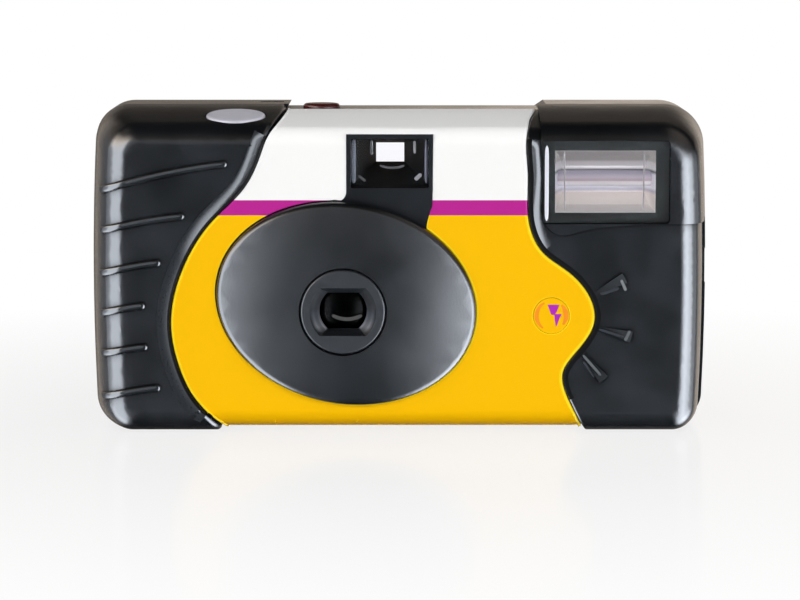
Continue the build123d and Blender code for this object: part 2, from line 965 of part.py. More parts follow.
def wrap_label():
    """Thin label folded over the top and under the bottom of its bed."""
    skin = front_form(label_step - label_thickness) - front_form(label_step)
    band = front_slab(band_face(label_edge_gap), grip_front_y - overrun, parting_y - label_back_margin)
    skin = skin & band
    oval = dome_place() * Ellipse(dome_length / 2 + part_gap * 2, dome_height / 2 + part_gap * 2)
    skin -= front_slab(oval + neck_face(part_gap), grip_front_y - overrun, parting_y)
    finder_gap = finder_face(finder_frame_width + part_gap * 2, finder_frame_height + part_gap * 2)
    skin -= front_slab(finder_gap, grip_front_y - overrun, bed_front_y + edge_round)
    hole_radius = charge_radius + charge_gap + part_gap / 2
    skin -= post_y(charge_x, charge_z, grip_front_y - overrun, cavity_front_y, hole_radius)
    return skin - door_box(door_gap * 2)


# Lens group
def throat_face(radius, height):
    """Circle cut flat at its top and bottom."""
    return Pos(lens_x, lens_z) * (Circle(radius) & Rectangle(radius * 3, height))


def lens_ring():
    """Lens retainer with a cone that narrows to a flat-sided opening."""
    front_y = ring_front_y
    body = post_y(lens_x, lens_z, front_y, front_y + ring_back_depth, ring_barrel_radius)
    face = post_y(lens_x, lens_z, front_y, front_y + dome_wall + ring_flange_thickness, ring_radius)
    face = fillet(face.edges().sort_by(Axis.Y)[0], ring_edge_round)
    flange_y = dome_front_y + dome_wall + part_gap
    flange_radius = ring_radius + ring_flange_extra
    flange = post_y(lens_x, lens_z, flange_y, flange_y + ring_flange_thickness, flange_radius)
    solid = body + face + flange
    throat_flat = throat_face(ring_throat_radius, ring_throat_height)
    mouth = Plane.XZ.offset(part_gap / 10 - front_y) * throat_face(ring_mouth_radius, ring_mouth_height)
    throat = Plane.XZ.offset(-(front_y + ring_cone_depth)) * throat_flat
    solid -= loft([mouth, throat], ruled=True)
    solid -= front_slab(throat_flat, front_y, front_y + ring_back_depth)
    seat_radius = lens_radius + lens_gap
    seat_y = front_y + ring_back_depth - lens_thickness - lens_gap
    solid -= post_y(lens_x, lens_z, seat_y, front_y + ring_back_depth, seat_radius)
    return solid


def taking_lens():
    """Moulded meniscus lens, hollow side to the film."""
    back_y = ring_back_y
    front_y = back_y - lens_thickness
    rod = post_y(lens_x, lens_z, front_y, back_y, lens_radius)
    front_ball = Pos(lens_x, front_y + lens_front_radius, lens_z) * Sphere(lens_front_radius)
    rim_sink = lens_front_radius - math.sqrt(lens_front_radius**2 - lens_radius**2)
    edge = post_y(lens_x, lens_z, front_y + rim_sink, back_y, lens_radius)
    solid = (rod & front_ball) + edge
    dish_depth = lens_back_radius - math.sqrt(lens_back_radius**2 - lens_radius**2)
    back_ball = Pos(lens_x, back_y - dish_depth + lens_back_radius, lens_z) * Sphere(lens_back_radius)
    return solid - back_ball


def aperture_plate():
    """Thin disc that sets the lens opening."""
    back_y = ring_back_y + aperture_thickness
    disc = post_y(lens_x, lens_z, ring_back_y, back_y, aperture_disc_radius)
    return disc - post_y(lens_x, lens_z, ring_back_y, back_y, aperture_radius)


# Shutter
def arm_face(start, end, width):
    """Straight arm with round ends in the drawing plane."""
    bar = trace(Line(start, end), width)
    return bar + Pos(*start) * Circle(width / 2) + Pos(*end) * Circle(width / 2)


def shutter_blade():
    """Thin swinging blade that covers the lens opening."""
    pivot = (blade_pivot_x, blade_pivot_z)
    tab_end = (blade_pivot_x - blade_tab_left, blade_pivot_z + blade_tab_up)
    face = Pos(lens_x, lens_z) * Circle(blade_disc_radius)
    face += arm_face(pivot, (lens_x, lens_z), blade_arm_width)
    face += arm_face(pivot, tab_end, blade_arm_width / 2)
    face += Pos(*pivot) * Circle(blade_hub_radius)
    face -= Pos(*pivot) * Circle(blade_pin_radius + blade_pin_gap)
    return front_slab(face, blade_front_y, blade_front_y + blade_thickness)


def pivot_post(x, z):
    """Boss and pin on the shutter board."""
    boss_y = board_front_y - blade_board_gap + blade_pin_gap
    pin_y = blade_front_y - blade_pin_gap * 2 - spring_wire * spring_turns
    boss = post_y(x, z, boss_y, board_front_y, blade_boss_radius)
    return boss + post_y(x, z, pin_y, board_front_y, blade_pin_radius)


def torsion_spring(x, z, angle):
    """Small torsion spring on a pivot pin: its coil as a sleeve, with one straight leg."""
    back_y = blade_front_y - blade_pin_gap
    front_y = back_y - spring_wire * spring_turns
    coil = post_y(x, z, front_y, back_y, spring_coil_radius)
    coil -= post_y(x, z, front_y, back_y, blade_pin_radius + blade_pin_gap)
    reach = spring_coil_radius + spring_leg
    bar = Pos(x, z) * Rot(0, 0, angle) * Pos(reach / 2, spring_coil_radius - spring_wire / 2)
    leg = front_slab(bar * Rectangle(reach, spring_wire), front_y, front_y + spring_wire)
    clear_pin = post_y(x, z, front_y, back_y, blade_pin_radius + blade_pin_gap)
    return coil + (leg - clear_pin)


def striker_tip():
    """Place of the striker's tip, just clear of the blade's tab."""
    tab_x = blade_pivot_x - blade_tab_left - blade_arm_width / 4
    tab_z = blade_pivot_z + blade_tab_up
    reach = striker_tip_gap + striker_arm_width / 2 + blade_arm_width / 4
    return (tab_x - reach, tab_z)


def striker_lever():
    """Sprung lever that strikes the blade's tab."""
    pivot = (striker_x, striker_z)
    face = arm_face(pivot, striker_tip(), striker_arm_width)
    face += Pos(*pivot) * Circle(striker_hub_radius)
    face -= Pos(*pivot) * Circle(blade_pin_radius + blade_pin_gap)
    return front_slab(face, blade_front_y, blade_front_y + blade_thickness)


# Moulded inner frame
def cone_mouth_face(wall):
    """Rectangle behind the lens where the light cone starts, grown by a wall."""
    face = Rectangle(cone_mouth_width + wall * 2, cone_mouth_width + wall * 2)
    return Plane.XZ.offset(frame_wall / 2 - board_back_y) * Pos(lens_x, lens_z) * face


def cone_gate_face(wall):
    """Rectangle of the film gate where the light cone ends, grown by a wall."""
    face = Rectangle(gate_width + wall * 2, gate_height + wall * 2)
    return Plane.XZ.offset(-gate_plate_front_y) * Pos(lens_x, film_z) * face


def light_cone():
    """Dark box that widens from the lens to the film gate."""
    outer = loft([cone_mouth_face(frame_wall), cone_gate_face(frame_wall)], ruled=True)
    inner = loft([cone_mouth_face(0), cone_gate_face(0)], ruled=True)
    return outer, inner


def roll_chamber():
    """Half-round wall, floor and roof that hold the roll of unexposed film."""
    inner_radius = roll_radius + chamber_gap
    outer_radius = inner_radius + chamber_wall
    floor_z = film_bottom_z - chamber_gap - chamber_floor
    roof_z = film_bottom_z + film_height + chamber_gap + chamber_floor
    drum = post_z(roll_x, roll_y, floor_z, roof_z, outer_radius)
    room = post_z(roll_x, roll_y, floor_z + chamber_floor, roof_z - chamber_floor, inner_radius)
    front_part = block(
        roll_x - outer_radius,
        roll_x + outer_radius,
        roll_y - outer_radius,
        gate_plate_back_y,
        floor_z,
        roof_z,
    )
    shell = (drum - room) & front_part
    film_path = block(
        roll_x - outer_radius,
        roll_x + outer_radius,
        gate_plate_front_y - part_gap,
        rear_inner_y,
        floor_z + chamber_floor,
        roof_z - chamber_floor,
    )
    shell -= film_path & post_z(roll_x, roll_y, floor_z, roof_z, inner_radius + chamber_wall / 4)
    pin_hole = roll_pin_radius + running_gap
    return shell - post_z(roll_x, roll_y, floor_z, roof_z, pin_hole)


def cartridge_wall():
    """Curved wall between the cartridge and the light cone, with its bridge to the gate."""
    inner_radius = cartridge_radius + cartridge_gap * 2
    outer_radius = inner_radius + chamber_wall
    low, high = chamber_arc_angles
    middle = (low + high) / 2
    arcs = []
    for radius in (inner_radius, outer_radius):
        points = []
        for angle in (low, middle, high):
            turn = math.radians(angle)
            points.append((cartridge_x + radius * math.cos(turn), cartridge_y + radius * math.sin(turn)))
        arcs.append(points)
    inner, outer = arcs
    edges = [
        ThreePointArc(*inner),
        Line(inner[2], outer[2]),
        ThreePointArc(*outer),
        Line(outer[0], inner[0]),
    ]
    wall = plan_slab(make_face(edges), gate_plate_bottom_z, deck_z)
    bridge = block(
        gate_plate_left_x,
        bridge_right_x,
        bridge_front_y,
        gate_plate_back_y,
        gate_plate_bottom_z,
        deck_z,
    )
    return wall + bridge


def deck():
    """Top plate under the thumbwheel, with the pins of the levers and the counter."""
    width = deck_right_x - deck_left_x
    depth = gate_plate_back_y - board_back_y + frame_wall / 2
    middle = Pos(deck_left_x + width / 2, gate_plate_back_y - depth / 2)
    plate = plan_slab(middle * RectangleRounded(width, depth, deck_corner), deck_z, deck_top_z)
    corner = block(
        board_left_x - deck_corner,
        board_post_right_x,
        board_front_y,
        board_back_y + deck_corner,
        deck_z,
        deck_top_z,
    )
    plate += corner
    dial_shoulder = dial_z - running_gap
    plate += post_z(dial_x, dial_y, deck_z, dial_shoulder, dial_post_radius * 3 / 2)
    plate += post_z(dial_x, dial_y, deck_z, dial_z + dial_thickness + part_gap, dial_post_radius)
    lever_top = deck_top_z + lever_lift + lever_thickness + part_gap
    plate += post_z(lever_x, lever_y, deck_z, lever_top, lever_pin_radius)
    plate += post_z(lever_x, lever_y, deck_z, deck_top_z + lever_lift - running_gap, lever_hub_radius)
    pawl_top = deck_top_z + lever_lift + pawl_thickness + part_gap
    plate += post_z(pawl_x, pawl_y, deck_z, pawl_top, pawl_pin_radius)
    plate += post_z(pawl_x, pawl_y, deck_z, deck_top_z + lever_lift - running_gap, pawl_hub_radius)
    plate -= post_z(cartridge_x, cartridge_y, deck_z, deck_top_z, wheel_hub_radius + running_gap)
    plate -= post_z(sprocket_x, sprocket_y, deck_z, deck_top_z, sprocket_shaft_radius + running_gap)
    return plate


def main_frame():
    """Inner frame: film gate, light cone, shutter board, roll chamber and top deck in one moulding."""
    cone_outer, cone_inner = light_cone()
    plate = block(
        gate_plate_left_x,
        gate_plate_right_x,
        gate_plate_front_y,
        gate_plate_back_y,
        gate_plate_bottom_z,
        gate_plate_top_z,
    )
    riser = block(
        gate_plate_left_x,
        deck_right_x,
        gate_plate_front_y,
        gate_plate_back_y,
        gate_plate_top_z - frame_wall,
        deck_top_z,
    )
    board = block(
        board_left_x,
        board_right_x,
        board_front_y,
        board_back_y,
        board_bottom_z,
        board_top_z,
    )
    post = block(
        board_left_x,
        board_post_right_x,
        board_front_y,
        board_back_y,
        board_bottom_z,
        deck_top_z,
    )
    solid = plate + riser + board + post + cone_outer
    solid += roll_chamber()
    solid += cartridge_wall()
    solid += deck()
    shelf_top = sprocket_z - shelf_gap
    shelf_bottom = shelf_top - sprocket_pin_length
    solid += block(
        sprocket_x - shelf_width / 2,
        sprocket_x + shelf_width / 2,
        sprocket_y - shelf_width / 2,
        gate_plate_front_y,
        shelf_bottom,
        shelf_top,
    )
    gate = Pos(lens_x, film_z) * Rectangle(gate_width, gate_height)
    solid -= cone_inner
    solid -= front_slab(gate, gate_plate_front_y, gate_plate_back_y)
    mouth = Pos(lens_x, lens_z) * Rectangle(cone_mouth_width, cone_mouth_width)
    solid -= front_slab(mouth, board_front_y, board_back_y)
    solid -= post_z(sprocket_x, sprocket_y, shelf_bottom, shelf_top, sprocket_pin_radius + running_gap)
    reach = gate_plate_front_y - sprocket_y
    slot_half = math.sqrt(sprocket_tip_radius**2 - reach**2) + sprocket_slot_extra
    solid -= block(
        sprocket_x - slot_half,
        sprocket_x + slot_half,
        gate_plate_front_y,
        gate_plate_back_y,
        sprocket_z - part_gap,
        sprocket_z + sprocket_thickness + part_gap,
    )
    solid += pivot_post(blade_pivot_x, blade_pivot_z)
    solid += pivot_post(striker_x, striker_z)
    peg_y = cavity_front_y + running_gap
    post_middle_x = (board_left_x + board_post_right_x) / 2
    solid += post_y(post_middle_x, board_top_z + deck_corner, peg_y, board_front_y, peg_radius)
    low_peg_z = board_top_z - peg_radius * 3 / 2
    solid += post_y(board_right_x - peg_radius * 2, low_peg_z, peg_y, board_front_y, peg_radius)
    for side in (-1, 1):
        x = lens_x + side * foot_spread_share * gate_width
        solid += block(
            x - foot_width / 2,
            x + foot_width / 2,
            gate_plate_front_y,
            gate_plate_back_y,
            rear_wall + part_gap,
            gate_plate_bottom_z,
        )
    return solid


# Film, cartridge and winding
def film_cartridge():
    """Metal film cartridge: can, two end caps and the light-trap lips."""
    top = cartridge_top_z
    low = cartridge_bottom_z
    can_radius = cartridge_radius - cartridge_cap_extra
    can = post_z(cartridge_x, cartridge_y, low, top, can_radius)
    for z in (low, top - cartridge_cap_height):
        can += post_z(cartridge_x, cartridge_y, z, z + cartridge_cap_height, cartridge_radius)
    inner_low = low + cartridge_cap_height / 2
    inner_top = top - cartridge_cap_height / 2
    inner_radius = can_radius - cartridge_cap_height / 2
    lip_middle = film_y + film_thickness / 2
    can += block(
        cartridge_x,
        gate_plate_left_x - part_gap - cartridge_gap,
        lip_middle - lip_thickness / 2,
        lip_middle + lip_thickness / 2,
        film_bottom_z - cartridge_cap_height,
        film_bottom_z + film_height + cartridge_cap_height,
    )
    can -= post_z(cartridge_x, cartridge_y, inner_low, inner_top, inner_radius)
    can -= post_z(cartridge_x, cartridge_y, low, top, spool_radius + running_gap * 2)
    return can


def cartridge_spool():
    """Spool inside the cartridge, with a bar that the thumbwheel's fork turns."""
    low = cartridge_bottom_z
    top = cartridge_top_z
    spool = post_z(cartridge_x, cartridge_y, low, top, spool_radius)
    disc_radius = cartridge_radius - cartridge_cap_height
    for z in (film_bottom_z - cartridge_cap_height, film_bottom_z + film_height):
        spool += post_z(cartridge_x, cartridge_y, z, z + cartridge_cap_height, disc_radius)
    spool -= post_z(cartridge_x, cartridge_y, top - spool_bore_depth, top, spool_bore_radius)
    bar_top = top - spool_bore_depth / 2
    spool += block(
        cartridge_x - spool_bore_radius,
        cartridge_x + spool_bore_radius,
        cartridge_y - spool_key_width / 2,
        cartridge_y + spool_key_width / 2,
        top - spool_bore_depth,
        bar_top,
    )
    return spool


def thumbwheel():
    """Milled winding wheel with a forked hub that reaches into the spool."""
    teeth = []
    wheel = post_z(cartridge_x, cartridge_y, wheel_z, wheel_z + wheel_thickness, wheel_radius)
    for index in range(wheel_teeth):
        angle = index * 360 / wheel_teeth
        spot = Pos(cartridge_x, cartridge_y) * Rot(0, 0, angle) * Pos(wheel_radius, 0)
        teeth.append(spot * Rot(0, 0, 45) * Rectangle(wheel_tooth_depth * 3 / 2, wheel_tooth_depth * 3 / 2))
    notches = plan_slab(Sketch() + teeth, wheel_z, wheel_z + wheel_thickness)
    wheel -= notches
    wheel_top = wheel_z + wheel_thickness
    wheel -= post_z(cartridge_x, cartridge_y, wheel_z + wheel_web, wheel_top, wheel_cup_radius)
    tip_z = cartridge_top_z - spool_bore_depth + running_gap * 2
    wheel += post_z(cartridge_x, cartridge_y, tip_z, wheel_z + wheel_thickness, wheel_hub_radius)
    wheel -= block(
        cartridge_x - wheel_hub_radius,
        cartridge_x + wheel_hub_radius,
        cartridge_y - spool_key_width / 2 - running_gap * 2,
        cartridge_y + spool_key_width / 2 + running_gap * 2,
        tip_z,
        cartridge_top_z - spool_bore_depth / 2 + running_gap * 2,
    )
    return wheel


def wheel_pawl():
    """Small pawl that stops the thumbwheel from turning back."""
    away = math.atan2(pawl_y - cartridge_y, pawl_x - cartridge_x)
    reach = wheel_radius + running_gap * 4 + pawl_arm_width / 2
    tip = (cartridge_x + reach * math.cos(away), cartridge_y + reach * math.sin(away))
    face = arm_face((pawl_x, pawl_y), tip, pawl_arm_width)
    face += Pos(pawl_x, pawl_y) * Circle(pawl_hub_radius)
    face -= Pos(pawl_x, pawl_y) * Circle(pawl_pin_radius + running_gap)
    z = deck_top_z + lever_lift
    return plan_slab(face, z, z + pawl_thickness)


def sprocket():
    """Eight-tooth film sprocket with its shaft, its cam and the finger that turns the counter."""
    middle = Pos(sprocket_x, sprocket_y)
    face = middle * Circle(sprocket_root_radius)
    tooth_length = sprocket_tip_radius - sprocket_root_radius
    for index in range(sprocket_teeth):
        angle = index * 360 / sprocket_teeth
        spot = middle * Rot(0, 0, angle) * Pos(sprocket_root_radius + tooth_length / 2 - part_gap / 2, 0)
        face += spot * Rectangle(tooth_length, sprocket_tooth_width)
    wheel = plan_slab(face, sprocket_z, sprocket_z + sprocket_thickness)
    top_z = dial_z + dial_thickness
    pin_z = sprocket_z - sprocket_pin_length
    wheel += post_z(sprocket_x, sprocket_y, pin_z, sprocket_z, sprocket_pin_radius)
    wheel += post_z(sprocket_x, sprocket_y, sprocket_z, top_z, sprocket_shaft_radius)
    cam_z = deck_top_z + lever_lift
    cam = middle * Circle(sprocket_cam_radius)
    cam -= middle * Pos(sprocket_cam_radius, 0) * Circle(sprocket_cam_radius / 3)
    wheel += plan_slab(cam, cam_z, cam_z + sprocket_cam_thickness)
    wheel += post_z(sprocket_x, sprocket_y, dial_z, top_z, sprocket_finger_radius)
    return wheel


def supply_spool():
    """Core that the unexposed film is wound on, with a pin at each end."""
    top = film_bottom_z + film_height
    core = post_z(roll_x, roll_y, film_bottom_z, top, roll_core_radius)
    low_pin = film_bottom_z - roll_pin_length
    return core + post_z(roll_x, roll_y, low_pin, top + roll_pin_length, roll_pin_radius)


def film_roll():
    """Wound roll of unexposed film on the supply spool."""
    top = film_bottom_z + film_height
    roll = post_z(roll_x, roll_y, film_bottom_z, top, roll_radius - running_gap)
    return roll - post_z(roll_x, roll_y, film_bottom_z, top, roll_core_radius)


def film_strip():
    """Stretch of perforated film from the roll across the gate to the cartridge's lips."""
    left = gate_plate_left_x + part_gap
    strip = block(left, roll_x, film_y, film_y + film_thickness, film_bottom_z, film_bottom_z + film_height)
    count = int((roll_x - left) / perforation_pitch)
    holes = []
    edge = film_height / 2 - perforation_edge - perforation_height / 2
    for index in range(count):
        x = left + (index + 0.5) * perforation_pitch
        for side in (-1, 1):
            holes.append(Pos(x, film_z + side * edge) * Rectangle(perforation_width, perforation_height))
    return strip - front_slab(Sketch() + holes, film_y, film_y + film_thickness)


# Frame counter
def counter_dial():
    """Notched dial that shows how many frames are left."""
    middle = Pos(dial_x, dial_y)
    face = middle * Circle(dial_radius)
    for index in range(dial_notches):
        angle = index * 360 / dial_notches
        spot = middle * Rot(0, 0, angle) * Pos(dial_radius, 0)
        face -= spot * Rot(0, 0, 45) * Rectangle(dial_notch, dial_notch)
    face -= middle * Circle(dial_post_radius + running_gap)
    return plan_slab(face, dial_z, dial_z + dial_thickness)


def counter_window_face(extra):
    """Rectangle of the counter window in the top view."""
    middle = Pos(dial_x, dial_y + counter_window_offset)
    return middle * Rectangle(counter_window_width + extra * 2, counter_window_depth + extra * 2)


def counter_window():
    """Clear window over the counter dial."""
    top = body_height - running_gap
    return plan_slab(counter_window_face(0), top - counter_window_thickness, top)


# Shutter button
def shutter_button():
    """Oval button that follows the slope of the top, with its flange and stem."""
    flange_z = body_height - button_flange_drop - button_flange_thickness
    cap = plan_slab(button_face(0), flange_z, body_height + overrun)
    raised = Pos(0, 0, button_proud) * front_form(0)
    cap = cap & raised
    rim_z = body_height - button_flange_drop / 2 - button_proud
    rim = cap.edges().filter_by(lambda edge: edge.center().Z > rim_z)
    cap = fillet(rim, button_edge_round)
    half = button_width / 2 + button_flange_extra
    cap += block(
        button_x - half,
        button_x + half,
        button_y - button_flange_depth / 2 + button_flange_extra,
        button_y + button_flange_depth / 2 + button_flange_extra,
        flange_z,
        flange_z + button_flange_thickness,
    )
    stem_x = button_x + button_stem_offset_x
    stem_y = button_y + button_stem_offset_y
    return cap + post_z(stem_x, stem_y, flange_z - button_stem_length, flange_z, button_stem_radius)


def metering_lever():
    """Lever between the shutter button's stem and the sprocket's cam."""
    cam_tip = (sprocket_x + lever_arm_width * 2 / 3, sprocket_y - sprocket_cam_radius - lever_arm_width)
    stem_x = button_x + button_stem_offset_x
    stem_y = button_y + button_stem_offset_y
    stem_tip = (stem_x + lever_arm_width / 2, stem_y + lever_arm_width / 2)
    face = arm_face((lever_x, lever_y), cam_tip, lever_arm_width)
    face += arm_face((lever_x, lever_y), stem_tip, lever_arm_width)
    face += Pos(lever_x, lever_y) * Circle(lever_hub_radius)
    face -= Pos(lever_x, lever_y) * Circle(lever_pin_radius + running_gap)
    z = deck_top_z + lever_lift
    return plan_slab(face, z, z + lever_thickness)


# Viewfinder
def finder_section(y, width, height):
    """Rectangle round the viewfinder axis at y."""
    return Plane.XZ.offset(-y) * finder_face(width, height)


def viewfinder_housing():
    """Black tunnel that narrows from the front lens to the eyepiece."""
    front_y = finder_sleeve_back_y + finder_fit * 2
    back_y = rear_inner_y - eyepiece_thickness - finder_fit * 2
    wall = finder_tube_wall * 2
    outer = loft(
        [
            finder_section(front_y, finder_frame_width, finder_frame_height),
            finder_section(back_y, finder_exit_width + wall * 2, finder_exit_height + wall * 2),
        ],
        ruled=True,
    )
    inner = loft(
        [
            finder_section(front_y, finder_width, finder_height),
            finder_section(back_y, finder_exit_width, finder_exit_height),
        ],
        ruled=True,
    )
    return outer - inner


def viewfinder_front_lens():
    """Dished front lens inside the viewfinder sleeve."""
    back_y = finder_sleeve_back_y
    front_y = back_y - finder_lens_thickness
    width = finder_width - finder_fit * 2
    height = finder_height - finder_fit * 2
    plate = front_slab(finder_face(width, height), front_y, back_y)
    dish = Pos(finder_x, front_y - finder_lens_dish + finder_lens_thickness / 2, finder_z)
    return plate - dish * Sphere(finder_lens_dish)


def viewfinder_rear_lens():
    """Eyepiece lens behind the back wall's window."""
    back_y = rear_inner_y - finder_fit
    front_y = back_y - eyepiece_thickness + finder_fit
    plate = front_slab(finder_face(eyepiece_width, eyepiece_height), front_y, back_y)
    crown = Pos(finder_x, front_y + eyepiece_bulge, finder_z) * Sphere(eyepiece_bulge)
    flat = front_slab(
        finder_face(eyepiece_width, eyepiece_height), front_y + eyepiece_thickness / 2, back_y
    )
    return (plate & crown) + flat


# Flash
def flash_lens():
    """Clear flash window with two side tabs behind the front wall."""
    face = flash_face(flash_width - part_gap, flash_height - part_gap)
    plate = front_slab(face, window_front_y, window_back_y)
    half = flash_width / 2 - part_gap / 2
    tab_y = cavity_front_y + running_gap
    for side in (-1, 1):
        outer = flash_x + side * half
        inner = flash_x + side * (half - window_tab)
        tip = flash_x + side * (half + window_tab)
        low = flash_z - window_tab_height / 2
        high = flash_z + window_tab_height / 2
        leg = block(min(outer, inner), max(outer, inner), window_back_y, tab_y + window_tab / 2, low, high)
        hook = block(min(outer, tip), max(outer, tip), tab_y, tab_y + window_tab / 2, low, high)
        plate = plate + leg + hook
    return plate


def reflector_section(depth_share, width, height):
    """Rectangle of the reflector bowl at a share of its depth."""
    y = reflector_front_y + reflector_depth * depth_share
    return Plane.XZ.offset(-y) * Pos(flash_x, flash_z) * Rectangle(width, height)


def reflector_bowl(extra):
    """The reflector's bowl as a solid, grown by extra on each side."""
    grow = extra * 2
    mid_width = reflector_width * reflector_mid_width_share
    mid_height = reflector_height * reflector_mid_height_share
    sections = [
        reflector_section(0, reflector_width + grow, reflector_height + grow),
        reflector_section(reflector_mid_depth_share, mid_width + grow, mid_height + grow),
        reflector_section(1, reflector_back_width + grow, reflector_back_height + grow),
    ]
    return loft(sections, ruled=True)


def flash_reflector():
    """Bright reflector bowl with a flat rim."""
    outer = reflector_bowl(reflector_wall)
    back_face = Pos(flash_x, flash_z) * Rectangle(reflector_width, reflector_height)
    back_y = reflector_front_y + reflector_depth
    back = outer & front_slab(back_face, back_y - reflector_wall, back_y)
    rim_face = Pos(flash_x, flash_z) * Rectangle(
        reflector_width + reflector_rim * 2, reflector_height + reflector_rim * 2
    )
    rim = front_slab(rim_face, reflector_front_y, reflector_front_y + reflector_wall)
    bowl = (outer + rim) - reflector_bowl(0)
    bowl += back
    return bowl - tube_solid(tube_clearance)


def tube_solid(extra):
    """Cylinder of the flash tube, grown by extra."""
    y = reflector_front_y + reflector_depth * tube_depth_share
    left = flash_x - tube_length / 2 - extra
    right = flash_x + tube_length / 2 + extra
    return post_x(y, flash_z + tube_rise, left, right, tube_radius + extra)


def flash_tube():
    """Straight flash tube with its end caps."""
    return tube_solid(0)


# Flash circuit
def circuit_board():
    """Bent circuit board: a tall part behind the front grip and an arm to the shutter."""
    arm_top = arm_bottom_z + arm_height
    face = make_face(
        Polyline(
            (circuit_left_x, circuit_bottom_z),
            (circuit_right_x, circuit_bottom_z),
            (circuit_right_x, circuit_top_z),
            (arm_right_x, circuit_top_z),
            (arm_right_x, arm_top),
            (arm_left_x, arm_top),
            (arm_left_x, arm_bottom_z),
            (circuit_left_x, arm_bottom_z),
            close=True,
        )
    )
    return front_slab(face, circuit_front_y, circuit_back_y)


def main_capacitor():
    """Upright flash capacitor."""
    z = capacitor_bottom_z
    can = post_z(capacitor_x, capacitor_y, z, z + capacitor_height, capacitor_radius)
    can = fillet(can.edges(), capacitor_edge)
    groove_z = z + capacitor_height - capacitor_edge * 3
    ring = post_z(capacitor_x, capacitor_y, groove_z, groove_z + capacitor_edge, capacitor_radius)
    groove_radius = capacitor_radius - capacitor_vent
    ring -= post_z(capacitor_x, capacitor_y, groove_z, groove_z + capacitor_edge, groove_radius)
    return can - ring


def transformer():
    """Small step-up transformer: bobbin flanges with the winding between them."""
    y = circuit_back_y + running_gap
    half_width_here = transformer_width / 2
    half_height = transformer_height / 2
    core = block(
        transformer_x - half_width_here,
        transformer_x + half_width_here,
        y + transformer_core_inset / 2,
        y + transformer_depth - transformer_core_inset / 2,
        transformer_z - half_height + transformer_core_inset,
        transformer_z + half_height - transformer_core_inset,
    )
    for x in (transformer_x - half_width_here, transformer_x + half_width_here - transformer_flange):
        core += block(
            x,
            x + transformer_flange,
            y,
            y + transformer_depth,
            transformer_z - half_height,
            transformer_z + half_height,
        )
    return core


def trigger_coil():
    """Trigger coil of the flash tube on its bobbin."""
    y = circuit_back_y + running_gap + coil_radius
    coil = post_z(coil_x, y, coil_z, coil_z + coil_length, coil_radius - coil_flange)
    for z in (coil_z, coil_z + coil_length - coil_flange):
        coil += post_z(coil_x, y, z, z + coil_flange, coil_radius)
    return coil


def charge_switch():
    """Domed spring contact under the charging button."""
    dome = post_y(charge_x, charge_z, circuit_front_y - switch_height, circuit_front_y, switch_radius)
    top_edge = dome.edges().sort_by(Axis.Y)[0]
    return chamfer(top_edge, switch_dish)


def sync_contact():
    """Leaf contact that the opening blade closes to fire the flash."""
    leaf_y = blade_front_y - sync_thickness
    foot_top = arm_bottom_z + arm_height / 2
    leaf = block(
        sync_x - sync_width / 2,
        sync_x + sync_width / 2,
        leaf_y,
        leaf_y + sync_thickness,
        foot_top - sync_length,
        foot_top,
    )
    foot = block(
        sync_x - sync_width / 2,
        sync_x + sync_width / 2,
        leaf_y,
        circuit_front_y,
        foot_top - sync_width / 2,
        foot_top,
    )
    return leaf + foot


# Charging button
def flash_button():
    """Round button in the label that charges the flash."""
    front_y = bed_front_y - label_thickness
    flange_y = cavity_front_y + charge_flange_gap
    back_y = flange_y + charge_flange_thickness
    cap = post_y(charge_x, charge_z, front_y, back_y, charge_radius)
    return cap + post_y(charge_x, charge_z, flange_y, back_y, charge_radius + charge_flange_extra)


# Ready light
def ready_light():
    """Red lens on the top that glows when the flash is ready."""
    seat_z = cavity_top_z - part_gap
    crown_top = bed_top_z + ready_crown
    stem = post_z(ready_x, ready_y, seat_z, bed_top_z, ready_stem_radius)
    cap = post_z(ready_x, ready_y, bed_top_z - shell_wall + part_gap, crown_top, ready_radius)
    cap = fillet(cap.edges().sort_by(Axis.Z)[-1], ready_crown * 2 / 3)
    return stem + cap


def ready_lamp():
    """Small glass lamp on the deck under the ready light."""
    z = deck_top_z
    bulb = post_z(ready_x + lamp_offset_x, ready_y + lamp_offset_y, z, z + lamp_height, lamp_radius)
    return fillet(bulb.edges().sort_by(Axis.Z)[-1], lamp_tip)


# Battery
def battery():
    """Round cell with its raised contact."""
    right = battery_left_x + battery_length
    can_right = right - battery_nub_length
    can = post_x(battery_y, battery_z, battery_left_x, can_right, battery_radius)
    can = fillet(can.edges(), battery_edge)
    return can + post_x(battery_y, battery_z, can_right, right, battery_nub_radius)


def contact_plate(x):
    """Upright contact strip standing against the front wall."""
    return block(
        x,
        x + contact_thickness,
        cavity_front_y + contact_gap,
        cavity_front_y + contact_gap + contact_depth,
        battery_z - contact_height / 2,
        battery_z + contact_height / 2,
    )


def battery_contact_positive():
    """Flat contact at the raised end, with a tab behind the circuit board."""
    x = battery_left_x + battery_length + contact_gap
    tab_y = circuit_back_y + running_gap
    tab = block(
        x,
        x + contact_foot,
        tab_y,
        tab_y + contact_thickness,
        battery_z - contact_foot_height / 2,
        battery_z + contact_foot_height / 2,
    )
    return contact_plate(x) + tab


def battery_contact_negative():
    """Sprung contact at the flat end."""
    spring_right = battery_left_x - contact_gap
    spring_left = spring_right - contact_spring_length
    x = spring_left - contact_thickness
    cone = post_x(battery_y, battery_z, spring_left, spring_right, contact_spring_radius)
    return contact_plate(x) + cone


